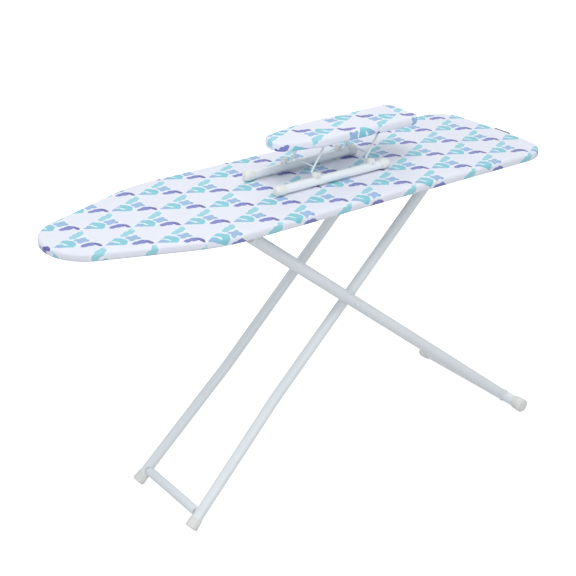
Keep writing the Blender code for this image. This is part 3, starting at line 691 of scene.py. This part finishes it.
def cover_profile(bottom, top, hem):
    """(inset, height, distance round the edge) from the top sheet to the hem's inner edge."""
    round_top, round_low = 0.36 * (top - bottom), 0.32 * (top - bottom)
    points = [(round_top * (1 - math.cos(a)), top - round_top * (1 - math.sin(a)))
              for a in (math.pi / 2 * (1 - k / 6) for k in range(7))]
    points += [(0.0, top - round_top + (bottom + round_low - top + round_top) * k / 3)
               for k in (1, 2)]
    points += [(round_low * (1 - math.cos(a)), bottom + round_low * (1 - math.sin(a)))
               for a in (math.pi / 2 * k / 5 for k in range(6))]
    points += [(round_low + (hem - round_low) * k / 5, bottom) for k in range(1, 6)]
    walked, profile = 0.0, []
    for before, (inset, z) in zip(points[:1] + points, points):
        walked += math.hypot(inset - before[0], z - before[1])
        profile.append((inset, z, walked))
    return profile


class Cover:
    """A fitted cover: simulated as a closed cushion, then opened underneath and given a skin."""
    FIRST_GATHER = 6        # the ring, counted from the top, where gathers start
    HEM_RINGS = 5           # the rings, counted from the inner edge, that lie flat underneath

    def __init__(self, name, corners, bottom, top, hem, spacing, swell, seed):
        self.name, self.top, self.swell, self.seed = name, top, swell, seed
        self.profile = cover_profile(bottom, top - swell, hem)
        self.bm = bmesh.new()
        self.rings = [[self.bm.verts.new((p.x, p.y, z)) for p in outline(corners, inset, spacing)]
                      for inset, z, _ in self.profile]
        bridge(self.bm, self.rings)
        fill_ring(self.bm, self.rings[0], spacing, top - swell)
        self.bm.verts.index_update()
        self.keep = len(self.bm.verts)
        self.cloth = self.flat_places(corners, spacing)
        fill_ring(self.bm, self.rings[-1], spacing * 1.6, bottom)

    def flat_places(self, corners, spacing):
        """Where each point lay on the flat cloth: the sides and the hem unroll outwards."""
        flat = np.array([v.co for v in self.bm.verts])
        for ring, (_, _, walked) in zip(self.rings, self.profile):
            for v, place in zip(ring, outline(corners, self.profile[0][0] - walked, spacing)):
                flat[v.index] = (place.x, place.y, 0.0)
        flat[:, 2] = 0.0
        return flat

    def simulate(self):
        """Where the cushion's points go when it is blown up a little; the same every run."""
        mesh = bpy.data.meshes.new(self.name + "_sim")
        self.bm.to_mesh(mesh)
        start = np.array([v.co for v in mesh.vertices])
        body = link(mesh.name, mesh)
        cloth = body.modifiers.new("cloth", 'CLOTH')
        for name, value in CLOTH_SETTINGS.items():
            setattr(cloth.settings, name, value)
        cloth.settings.effector_weights.gravity = 0.0
        cloth.collision_settings.use_collision = False
        for number in range(1, SIM_FRAMES + 1):
            scene.frame_set(number)
        depsgraph = bpy.context.evaluated_depsgraph_get()
        moved = np.array([v.co for v in body.evaluated_get(depsgraph).data.vertices])
        bpy.data.objects.remove(body)
        scene.frame_set(1)
        return start, moved - start

    def shape(self):
        """Final places: the capped swelling, felt unevenness, and gathers towards the hem."""
        start, shift = self.simulate()
        size = np.linalg.norm(shift, axis=1, keepdims=True)
        points = start + (shift / np.maximum(size, 1e-9) * self.swell
                          * np.tanh(size / self.swell))
        for v in self.bm.verts:
            if v.index < self.keep:
                v.co = points[v.index]
                if v.co.z > self.top - self.swell - 0.004:
                    wave = noise.noise(Vector((v.co.x * 13, v.co.y * 13, self.seed)))
                    v.co.z = min(v.co.z + 0.00045 * wave, self.top - 0.0001)
        self.gathers()

    def gathers(self):
        """Puckers drawn in by the cord: none on top, full at the hem, strongest on curves."""
        last, total = len(self.rings) - 1, len(self.rings[0])
        top_ring = self.rings[0]
        walked = np.cumsum([0.0] + [(b.co - a.co).length for a, b in zip(top_ring, top_ring[1:])])
        for level, ring in enumerate(self.rings[self.FIRST_GATHER:], self.FIRST_GATHER):
            share = ((level - self.FIRST_GATHER + 1) / (last - self.FIRST_GATHER + 1)) ** 1.6
            curve = self.curving(ring)
            for i, v in enumerate(ring):
                wave = noise.noise(Vector((walked[i] * 62.0, self.seed * 3.1, 0.3)))
                wave += 0.5 * noise.noise(Vector((walked[i] * 150.0, self.seed, 2.7)))
                lift = wave * share * (0.0007 + 0.0016 * curve[i])
                if level >= last - self.HEM_RINGS:
                    v.co.z += lift
                    continue
                outward = (ring[(i + 1) % total].co - ring[i - 1].co).cross(Vector((0, 0, 1)))
                if outward.length > 1e-9:
                    v.co += outward.normalized() * lift * 0.7

    @staticmethod
    def curving(ring):
        """From 0 on the straights to 1 on the tight bends, smoothed along the ring."""
        total = len(ring)
        turns = []
        for i in range(total):
            a = (ring[i].co - ring[i - 1].co).to_2d()
            b = (ring[(i + 1) % total].co - ring[i].co).to_2d()
            short = min(a.length, b.length) < 1e-6
            turns.append(0.0 if short else min(1.0, abs(a.angle_signed(b)) * 14))
        turns = np.array(turns)
        kernel = np.hanning(15) / np.hanning(15).sum()
        return np.convolve(np.tile(turns, 3), kernel, 'same')[total:2 * total]

    def build(self, material, thickness):
        """The open sheet with its own thickness, one level of subdivision, cloth places kept."""
        bmesh.ops.delete(self.bm, geom=[v for v in self.bm.verts if v.index >= self.keep],
                         context='VERTS')
        obj = new_object(self.name, self.bm, material, smooth=False)
        attribute = obj.data.attributes.new("cloth", 'FLOAT_VECTOR', 'POINT')
        attribute.data.foreach_set("vector", self.cloth.astype(np.float32).ravel())
        obj.data.shade_smooth()
        subdivide = obj.modifiers.new("subdivide", 'SUBSURF')
        subdivide.levels = subdivide.render_levels = 1
        subdivide.boundary_smooth = 'ALL'
        solid = obj.modifiers.new("skin", 'SOLIDIFY')
        solid.thickness = thickness
        solid.offset = -1.0
        apply_modifiers(obj)
        return obj


def stitches(name, ring, length, gap, radius):
    """A row of small thread stitches along a closed ring, each a short bulging bar."""
    bm = bmesh.new()
    lift, profile = Vector((0, 0, -0.0003)), (0.45, 1.0, 0.45)
    total = len(ring)
    lengths = [(ring[(i + 1) % total] - ring[i]).length for i in range(total)]
    whole = sum(lengths)
    count = int(whole / (length + gap))
    edges = np.cumsum([0.0] + lengths)

    def spot(distance):
        distance %= whole
        i = min(int(np.searchsorted(edges, distance, 'right')) - 1, total - 1)
        return ring[i].lerp(ring[(i + 1) % total], (distance - edges[i]) / lengths[i])

    for k in range(count):
        start = k * (whole / count)
        a, b = spot(start), spot(start + length)
        points = (a + lift * 0.2, (a + b) / 2 + lift, b + lift * 0.2)
        loft(sweep(points, lambda i: radius * profile[i], 6), bm=bm)
    return new_object(name, bm, MATERIALS["thread"])


def flat_cut(corners, profile):
    """Width and length, and area, of the flat cut: the outline let out by what wraps round."""
    ring = outline(corners, profile[0][0] - profile[-1][2], 0.01)
    x, y = np.array(ring, float).T
    area = abs((x * np.roll(y, -1) - y * np.roll(x, -1)).sum()) / 2
    return (float(np.ptp(y)), float(np.ptp(x))), float(area)


def build_covers():
    for (part, body, corners, sizes, spacing, swell, seed, cotton, thickness, stitch) in (
            ("board", "board", BOARD_CORNERS, (BOARD_BOTTOM, BOARD_TOP, HEM_WIDTH),
             0.010, 0.0016, 4.0, "printed_cotton", 0.0007, (0.0032, 0.0014, 0.00032)),
            ("sleeve", "sleeve_deck", DECK_CORNERS, (DECK_BOTTOM, DECK_TOP, DECK_HEM),
             0.0065, 0.0012, 9.0, "sleeve_cotton", 0.0006, (0.0028, 0.0012, 0.00028))):
        cover = Cover(part + "_cover_cloth", corners, *sizes, spacing, swell, seed)
        cover.shape()
        hem_ring = [v.co.copy() for v in cover.rings[-2]]
        obj = cover.build(MATERIALS[cotton], thickness)
        place_piece(obj, body, "printed_cotton", part + "_cover")
        seam = stitches(part + "_cover_seam", hem_ring, *stitch)
        place_piece(seam, body, "printed_cotton")
        size, area = flat_cut(corners, cover.profile)
        part + "_pad_felt"


def felt_pad(part, body, corners, inset, low, high, spacing, seed):
    """A felt slab with soft edges and a slightly uneven face on both sides."""
    edge = min(0.0022, (high - low) * 0.45)
    profile = [(edge * (1 - math.sin(a)), high - edge * (1 - math.cos(a)))
               for a in (math.pi / 2 * k / 4 for k in range(5))]
    profile += [(extra, low + high - z) for extra, z in profile[::-1]]
    bm = bmesh.new()
    rings = [[bm.verts.new((p.x, p.y, z)) for p in outline(corners, inset + extra, spacing)]
             for extra, z in profile]
    bridge(bm, rings)
    fill_ring(bm, rings[0], spacing, high)
    fill_ring(bm, rings[-1], spacing, low)
    for v in bm.verts:
        depth = 0.00022 * (1 + noise.noise(Vector((v.co.x * 70, v.co.y * 70, seed))))
        v.co.z += depth if v.co.z < (low + high) / 2 else -depth
    pad = piece(part + "_pad_felt", bm, body, "felt", part + "_pad")


# ---- mesh panel
def expanded_mesh():
    """Expanded steel: one sheet with rows of lozenge openings inside a plain border."""
    low, high = [corner.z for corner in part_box("board_mesh")]
    ring = outline(BOARD_CORNERS, 0.006, 0.020)
    limit = outline(BOARD_CORNERS, 0.017, 0.020)
    long_pitch, short_pitch, strand = 0.0240, 0.0110, 0.0019
    half_long, half_short = long_pitch / 2 - strand * 1.15, short_pitch / 2 - strand * 0.55
    holes = []
    for row in range(-36, 37):
        for column in range(-30, 31):
            x = (column + (0.5 if row % 2 else 0.0)) * long_pitch
            y = row * short_pitch / 2
            holes.append([(x - half_long, y), (x, y - half_short), (x + half_long, y),
                          (x, y + half_short)])
    corners = np.array([p for hole in holes for p in hole])
    good = inside(corners, limit).reshape(-1, 4).all(1)
    holes = [hole for hole, keep in zip(holes, good) if keep]
    flat = [Vector(p) for p in (*ring, *(p for hole in holes for p in hole))]
    edges = [(i, (i + 1) % len(ring)) for i in range(len(ring))]
    lozenges = [range(i, i + 4) for i in range(len(ring), len(flat), 4)]
    points, _, faces, _, _, in_holes = delaunay_2d_cdt(flat, edges, lozenges, 1, 1e-7)
    bm = bmesh.new()
    verts = [bm.verts.new((p.x, p.y, low)) for p in points]
    for face, in_hole in zip(faces, in_holes):
        if not in_hole:
            bm.faces.new([verts[i] for i in face])
    bmesh.ops.delete(bm, geom=[v for v in bm.verts if not v.link_faces], context='VERTS')
    made = bmesh.ops.extrude_face_region(bm, geom=list(bm.faces))
    top = [g for g in made["geom"] if isinstance(g, bmesh.types.BMVert)]
    bmesh.ops.translate(bm, verts=top, vec=(0, 0, high - low))
    piece("board_mesh_panel", bm, "board", "white_paint", "board_mesh", smooth=False)


# ---- legs
def weld_bead(bm, path, radius, seed):
    """A painted-over weld: a low rippled fillet along a closed seam."""
    ripple = [radius * (1 + 0.10 * math.sin(i * 1.9 + seed)
                        + 0.14 * noise.noise(Vector((i * 0.35, seed, 0.0))))
              for i in range(len(path))]
    loft(sweep(path, lambda i: ripple[i], 10, closed=True), closed=True, bm=bm)


def u_path(sign):
    """Centre line of a U leg tube with its flare as one easy curve."""
    top = HINGE + U_DIR * 0.014
    bend = U_FOOT + U_DIR * ((FLARE_Z - U_FOOT.y) / U_DIR.y)
    ease, flare = 0.030, U_FOOT_Y - U_Y
    foot = U_FOOT + U_DIR * 0.004
    knots = [at(top, sign * U_Y), at(bend + U_DIR * ease, sign * U_Y),
             at(bend, sign * (U_Y + flare * 0.04)),
             at(bend - U_DIR * ease, sign * (U_Y + flare * 0.16)), at(foot, sign * U_FOOT_Y)]
    return smooth_corners(knots, 0.013, 6)


def floor_flat(bm):
    """Flatten whatever would reach below the floor into a flat sole."""
    for v in bm.verts:
        v.co.z = max(v.co.z, 0.0)


def build_u_leg():
    bar_centre = U_FOOT + U_DIR * U_BAR_UP
    u_perp = Vector((-U_DIR.y, U_DIR.x))
    for side, sign in SIDES:
        path = u_path(sign)
        leg = piece("u_leg_tube_" + side, tube(path, U_RADIUS), "u_leg", "white_paint",
                    "u_tube_" + side)
        drill(leg, *[(at(c, sign * 0.07), at(c, sign * 0.13), PIN_HOLE) for c in (HINGE, PIVOT)])
        foot_cap(side, path[-1], (path[-1] - path[-2]).normalized())

    # the tubes splay by lean at the bar, whose ends follow them
    face = U_FOOT_Y - U_RADIUS * 0.93
    lean = (U_FOOT_Y - U_Y) * 0.84 / ((FLARE_Z - U_FOOT.y) / U_DIR.y - 0.030)
    drift = -lean * U_BAR_UP
    bm = tube([at(bar_centre, -face - drift), at(bar_centre, face + drift)], U_BAR_RADIUS, 40)
    for sign in (-1, 1):
        seam = []
        for a in around(48):
            off = U_DIR * (U_BAR_RADIUS * math.cos(a)) + u_perp * (U_BAR_RADIUS * math.sin(a))
            depth = math.sqrt(U_RADIUS ** 2 - (U_BAR_RADIUS * math.sin(a)) ** 2)
            y = U_FOOT_Y + drift - lean * U_BAR_RADIUS * math.cos(a) - depth
            seam.append(at(bar_centre + off * 1.06, sign * y))
        weld_bead(bm, seam, 0.0013, 3 + sign)
    piece("u_leg_crossbar", bm, "u_leg", "white_paint", "u_crossbar")
    build_hinge_rod()
    build_pivot()


def build_hinge_rod():
    """The plain rod the U leg turns on, its ends eased."""
    half, radius, ease = 0.111, 0.005, 0.0008
    end = [(0, radius * 0.2), (0, radius - ease), (ease * 0.3, radius - ease * 0.3), (ease, radius)]
    profile = end + [(2 * half - along, r) for along, r in end[::-1]]
    piece("u_leg_hinge_rod", turned(profile, at(HINGE, -half), (0, 1, 0), 40, closed=False),
          "u_leg", "white_paint", "hinge_rod")


def foot_cap(side, tube_end, down):
    """A ribbed plastic ferrule over a tube's end, cut off flat at the floor."""
    length, bore = U_CAP_LENGTH, U_RADIUS + GAP
    profile = [(length - 0.005, 0.001), (length - 0.005, bore), (0.0004, bore), (0, bore + 0.0004),
               (0, 0.0138), (0.0006, 0.0143), (0.0022, 0.0147), (0.0030, 0.0142), (0.0038, 0.0148),
               (0.0100, 0.0149), (0.0160, 0.0152), (0.0190, 0.0155), (0.0205, 0.0156),
               (0.0225, 0.0153), (length - 0.0006, 0.0145), (length, 0.0138), (length, 0.001)]
    bm = turned(profile, tube_end - down * (length - 0.006), down)
    floor_flat(bm)
    piece("u_foot_cap_" + side, bm, "u_leg", "cap_plastic", "u_cap_" + side)


def build_pivot():
    """The rivet through the three tubes, its washer and its push nut."""
    head = T_Y - T_RADIUS - GAP
    length = U_Y + U_RADIUS + 0.0045 - head
    profile = [(-0.0026, 0.0004)]
    profile += [(-0.0026 * math.cos(a), 0.0080 * math.sin(a))
                for a in (math.pi / 2 * k / 8 for k in range(1, 9))]
    profile += [(0, 0.005), (length - 0.001, 0.005), (length, 0.0042), (length, 0.0004)]
    piece("pivot_rivet", turned(profile, at(PIVOT, head), (0, 1, 0), 40, closed=False),
          "u_leg", "white_paint", "pivot_rod")
    low, high = T_Y + T_RADIUS + GAP, -U_Y - U_RADIUS - GAP
    hole, thick = PIN_HOLE, high - low
    washer = [(0, hole), (0, 0.0092), (0.0003, 0.0095), (thick - 0.0003, 0.0095),
              (thick, 0.0092), (thick, hole)]
    piece("pivot_spacer", turned(washer, at(PIVOT, low), (0, 1, 0)), "u_leg", "cap_plastic",
          "pivot_washer")
    nut = [(0, hole), (0, 0.0083), (0.0003, 0.0085), (0.0018, 0.0082), (0.0027, 0.0072),
           (0.0030, 0.0062), (0.0030, hole)]
    piece("pivot_push_nut", turned(nut, at(PIVOT, U_Y + U_RADIUS + GAP), (0, 1, 0)), "u_leg",
          "zinc_steel", "pivot_nut")


def build_t_leg():
    top = CATCH + T_DIR * 0.012
    reach = T_FOOT + T_DIR * (T_RADIUS * 0.5)
    leg = piece("t_leg_tube", tube([at(top, T_Y), at(reach, T_Y)], T_RADIUS), "t_leg",
                "white_paint", "t_tube")
    drill(leg, *[(at(c, T_Y - 0.03), at(c, T_Y + 0.03), radius) for c, radius in (
        (PIVOT, PIN_HOLE), (CATCH, CATCH_HOLE), (T_FOOT, T_RADIUS + GAP))])
    bm = tube([at(T_FOOT, -T_BAR_HALF), at(T_FOOT, T_BAR_HALF)], T_RADIUS)
    t_perp = Vector((-T_DIR.y, T_DIR.x))
    seam = []
    for a in around(64):
        off = t_perp * (T_RADIUS * math.cos(a)) * 1.04 + T_DIR * (T_RADIUS * abs(math.sin(a)))
        seam.append(at(T_FOOT + off, T_Y + T_RADIUS * math.sin(a) * 1.04))
    weld_bead(bm, seam, 0.0015, 5.0)
    piece("t_leg_foot_bar", bm, "t_leg", "white_paint", "t_bar")
    for side, sign in SIDES:
        bar_cap(side, sign)
    plug = [(GAP, 0.0135), (0.0006, 0.0136), (0.0014, 0.0131), (0.0020, 0.0121),
            (0.0020, 0.0010), (-0.006, 0.0010), (-0.006, 0.0122), (GAP, 0.0122)]
    piece("t_leg_plug", turned(plug, at(top, T_Y), at(T_DIR, 0.0), 40), "t_leg", "cap_plastic",
          "t_tube_plug")


def bar_cap(side, sign):
    """A round plastic cap over an end of the foot bar, its sole flat."""
    length = T_CAP_REACH - T_BAR_HALF + 0.022
    bore, floor = T_RADIUS + GAP, T_CAP_REACH - T_BAR_HALF - GAP
    profile = [(length - floor, 0.001), (length - floor, bore), (0.0004, bore),
               (0, bore + 0.0003), (0, 0.0154), (0.0006, 0.0159), (0.0020, 0.0163),
               (0.0028, 0.0158), (0.0036, 0.0165), (length * 0.55, 0.0174),
               (length - 0.0060, 0.0180), (length - 0.0030, 0.0176), (length - 0.0012, 0.0164),
               (length - 0.0002, 0.0142), (length, 0.0125), (length, 0.001)]
    bm = turned(profile, at(T_FOOT, sign * (T_CAP_REACH - length)), (0, sign, 0))
    floor_flat(bm)
    piece("t_foot_cap_" + side, bm, "t_leg", "cap_plastic", "t_cap_" + side)


# ---- sleeve board frame
def build_sleeve_base():
    low, high = SLEEVE_TUBE_X
    length, cover, bore = 0.025, 0.012, SLEEVE_TUBE_RADIUS + GAP
    cap = [(0.0123, 0.001), (0.0123, bore), (0, bore), (0, 0.0110), (0.0004, 0.0114),
           (0.0015, 0.0118), (0.0023, 0.0114), (0.0031, 0.0119), (0.0150, 0.0120),
           (length - 0.0060, 0.0119), (length - 0.0034, 0.0114), (length - 0.0015, 0.0102),
           (length - 0.0003, 0.0083), (length, 0.0068), (length, 0.001)]
    for side, sign in SIDES:
        y = SLEEVE_Y + sign * SLEEVE_OFFSET
        path = [(low, y, SLEEVE_TUBE_Z), (high, y, SLEEVE_TUBE_Z)]
        piece("sleeve_base_tube_" + side, tube(path, SLEEVE_TUBE_RADIUS), "sleeve_base",
              "white_paint", "sleeve_tube_" + side)
        for end, x, out in (("nose", low, -1), ("tail", high, 1)):
            bm = turned(cap, (x - out * cover, y, SLEEVE_TUBE_Z), (out, 0, 0), 40)
            piece(f"sleeve_foot_{side}_{end}", bm, "sleeve_base", "cap_plastic",
                  f"sleeve_cap_{side}_{end}")
        for place, x in zip(PLACES, LINK_BASE):
            saddle(side, place, x, y)


def saddle(side, place, x, y):
    """A moulded saddle that clips on a base tube and carries a link's axle."""
    half_x, half_y = 0.008, 0.0075
    low, high = SLEEVE_TUBE_Z + 0.004, LINK_BASE_Z + 0.0055
    bm = rounded_block((x - half_x, y - half_y, low), (x + half_x, y + half_y, high), 0.0022)
    for v in bm.verts:
        rise = (v.co.z - low) / (high - low)
        v.co.x = x + (v.co.x - x) * (1.0 - 0.22 * rise ** 2)
    obj = piece(f"link_saddle_{side}_{place}", bm, "sleeve_base", "cap_plastic",
                f"sleeve_saddle_{side}_{place}")
    drill(obj, ((x - 0.05, y, SLEEVE_TUBE_Z), (x + 0.05, y, SLEEVE_TUBE_Z),
                SLEEVE_TUBE_RADIUS + GAP),
          ((x, y - 0.02, LINK_BASE_Z), (x, y + 0.02, LINK_BASE_Z), LINK_RADIUS + GAP))


def build_links():
    near, far = SLEEVE_Y - LINK_UPRIGHT, SLEEVE_Y + LINK_UPRIGHT
    tie_up, tie_radius, clear, ease = 0.22, 0.0020, LINK_RADIUS + GAP, 0.0006
    for place, base_x in zip(PLACES, LINK_BASE):
        name = place + "_link"
        top_x = base_x + LINK_LEAN
        knots = [(base_x, SLEEVE_Y - LINK_END, LINK_BASE_Z), (base_x, near, LINK_BASE_Z),
                 (top_x, near, LINK_TOP_Z), (top_x, far, LINK_TOP_Z), (base_x, far, LINK_BASE_Z),
                 (base_x, SLEEVE_Y + LINK_END, LINK_BASE_Z)]
        path = smooth_corners(knots, 0.006, 9)
        inner = path[0] + (path[1] - path[0]).normalized() * ease
        outer = path[-1] + (path[-2] - path[-1]).normalized() * ease
        path = [path[0], inner, *path[1:-1], outer, path[-1]]
        widths = [0.70] + [1.0] * (len(path) - 2) + [0.70]
        bm = loft(sweep(path, lambda i: LINK_RADIUS * widths[i], 20))
        piece(name + "_bent_wire", bm, name, "white_paint", name + "_wire")
        x = base_x + LINK_LEAN * tie_up
        z = LINK_BASE_Z + (LINK_TOP_Z - LINK_BASE_Z) * tie_up
        bm = loft(sweep([(x, near + clear, z), (x, far - clear, z)], tie_radius, 20))
        for sign, y in ((1, near + clear), (-1, far - clear)):
            ring = [(x + tie_radius * math.cos(a), y + sign * 0.0002, z + tie_radius * math.sin(a))
                    for a in around(24)]
            weld_bead(bm, ring, 0.0006, y * 40)
        piece(name + "_tie_wire", bm, name, "white_paint", name + "_tie")


def build_clips():
    for place, base_x in zip(PLACES, LINK_BASE):
        x, node = base_x + LINK_LEAN, "deck_clip_" + place
        low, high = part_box(node)
        bm = rounded_block((x - 0.0075, SLEEVE_Y - 0.013, low.z),
                           (x + 0.0075, SLEEVE_Y + 0.013, high.z), 0.0022)
        obj = piece("deck_rod_clip_" + place, bm, "sleeve_deck", "cap_plastic", node)
        drill(obj, ((x, SLEEVE_Y - 0.03, LINK_TOP_Z), (x, SLEEVE_Y + 0.03, LINK_TOP_Z),
                    LINK_RADIUS + GAP))


# ---- small trims under the hem
def gathered_cord(name, corners, inset, z, radius, body, node, seed):
    """The drawcord just inside the hem, wandering a little between the gathers."""
    path = []
    for p in outline(corners, inset, 0.006):
        drift = noise.noise(Vector((p.x * 45, p.y * 45, seed))) * 0.0007
        path.append((p.x, p.y, z + drift))
    rings = sweep(path, lambda i: radius * (1.0 + 0.10 * math.sin(i * 2.4)), 10, closed=True)
    piece(name, loft(rings, closed=True), body, "cord", node)


def layout_box(node):
    return [corner + FRAME_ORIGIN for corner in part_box(node)]


def build_trims():
    gathered_cord("board_drawcord", BOARD_CORNERS, HEM_WIDTH + 0.0025, 0.7058, 0.0015, "board",
                  "cover_drawcord", 1.0)
    gathered_cord("deck_drawcord", DECK_CORNERS, DECK_HEM + 0.0022, 0.8131, 0.0012,
                  "sleeve_deck", "sleeve_drawcord", 2.0)
    bm = rounded_block(*layout_box("cover_toggle"), 0.0026, 5)
    piece("drawcord_toggle", bm, "board", "grey_plastic", "cover_toggle")
    low, high = layout_box("cover_tab")
    high.z += 0.0030        # it shows over the tail edge, as in the photo
    bm = rounded_block(low, high, 0.0004, 2)
    bmesh.ops.subdivide_edges(bm, edges=[e for e in bm.edges if e.calc_length() > 0.01], cuts=10)
    for v in bm.verts:
        v.co.x += 0.0005 * math.sin((v.co.y - low.y) * 160.0) * (high.z - v.co.z) / 0.0175
    piece("tail_tab", bm, "board", "woven_label", "cover_tab")


# ---- assembly
def paint_frame():
    """Give every CAD node that stays in view the finish its slot names."""
    for row in frame["record"]["subparts"]:
        node = frame["nodes"][row["node"]]
        chosen = MATERIALS[row["material_slot"]]
        if len(node.data.materials) == 0:
            node.data.materials.append(chosen)
        for slot in node.material_slots:
            slot.link = 'OBJECT'
            slot.material = chosen


def main():
    MATERIALS.update({
        "white_paint": powder_coat(),
        "cap_plastic": moulded_plastic("cap_plastic", (0.80, 0.805, 0.785), 0.42),
        "grey_plastic": moulded_plastic("grip_plastic", (0.42, 0.45, 0.47), 0.5),
        "zinc_steel": zinc_steel(), "felt": felt(), "cord": braided_cord(),
        "woven_label": woven_label(), "thread": sewing_thread(),
        "printed_cotton": printed_cotton("printed_cotton", PRINT_ORIGIN),
        "sleeve_cotton": printed_cotton("printed_cotton_turned", SLEEVE_PRINT_ORIGIN, -1.0)})
    make_stage()
    paint_frame()
    felt_pad("board", "board", BOARD_CORNERS, 0.0105, 0.7188, 0.7258, 0.014, 3.0)
    felt_pad("sleeve", "sleeve_deck", DECK_CORNERS, 0.0090, 0.8292, 0.8332, 0.010, 5.0)
    expanded_mesh()
    build_covers()
    build_trims()
    build_u_leg()
    build_t_leg()
    build_sleeve_base()
    build_links()
    build_clips()


main()
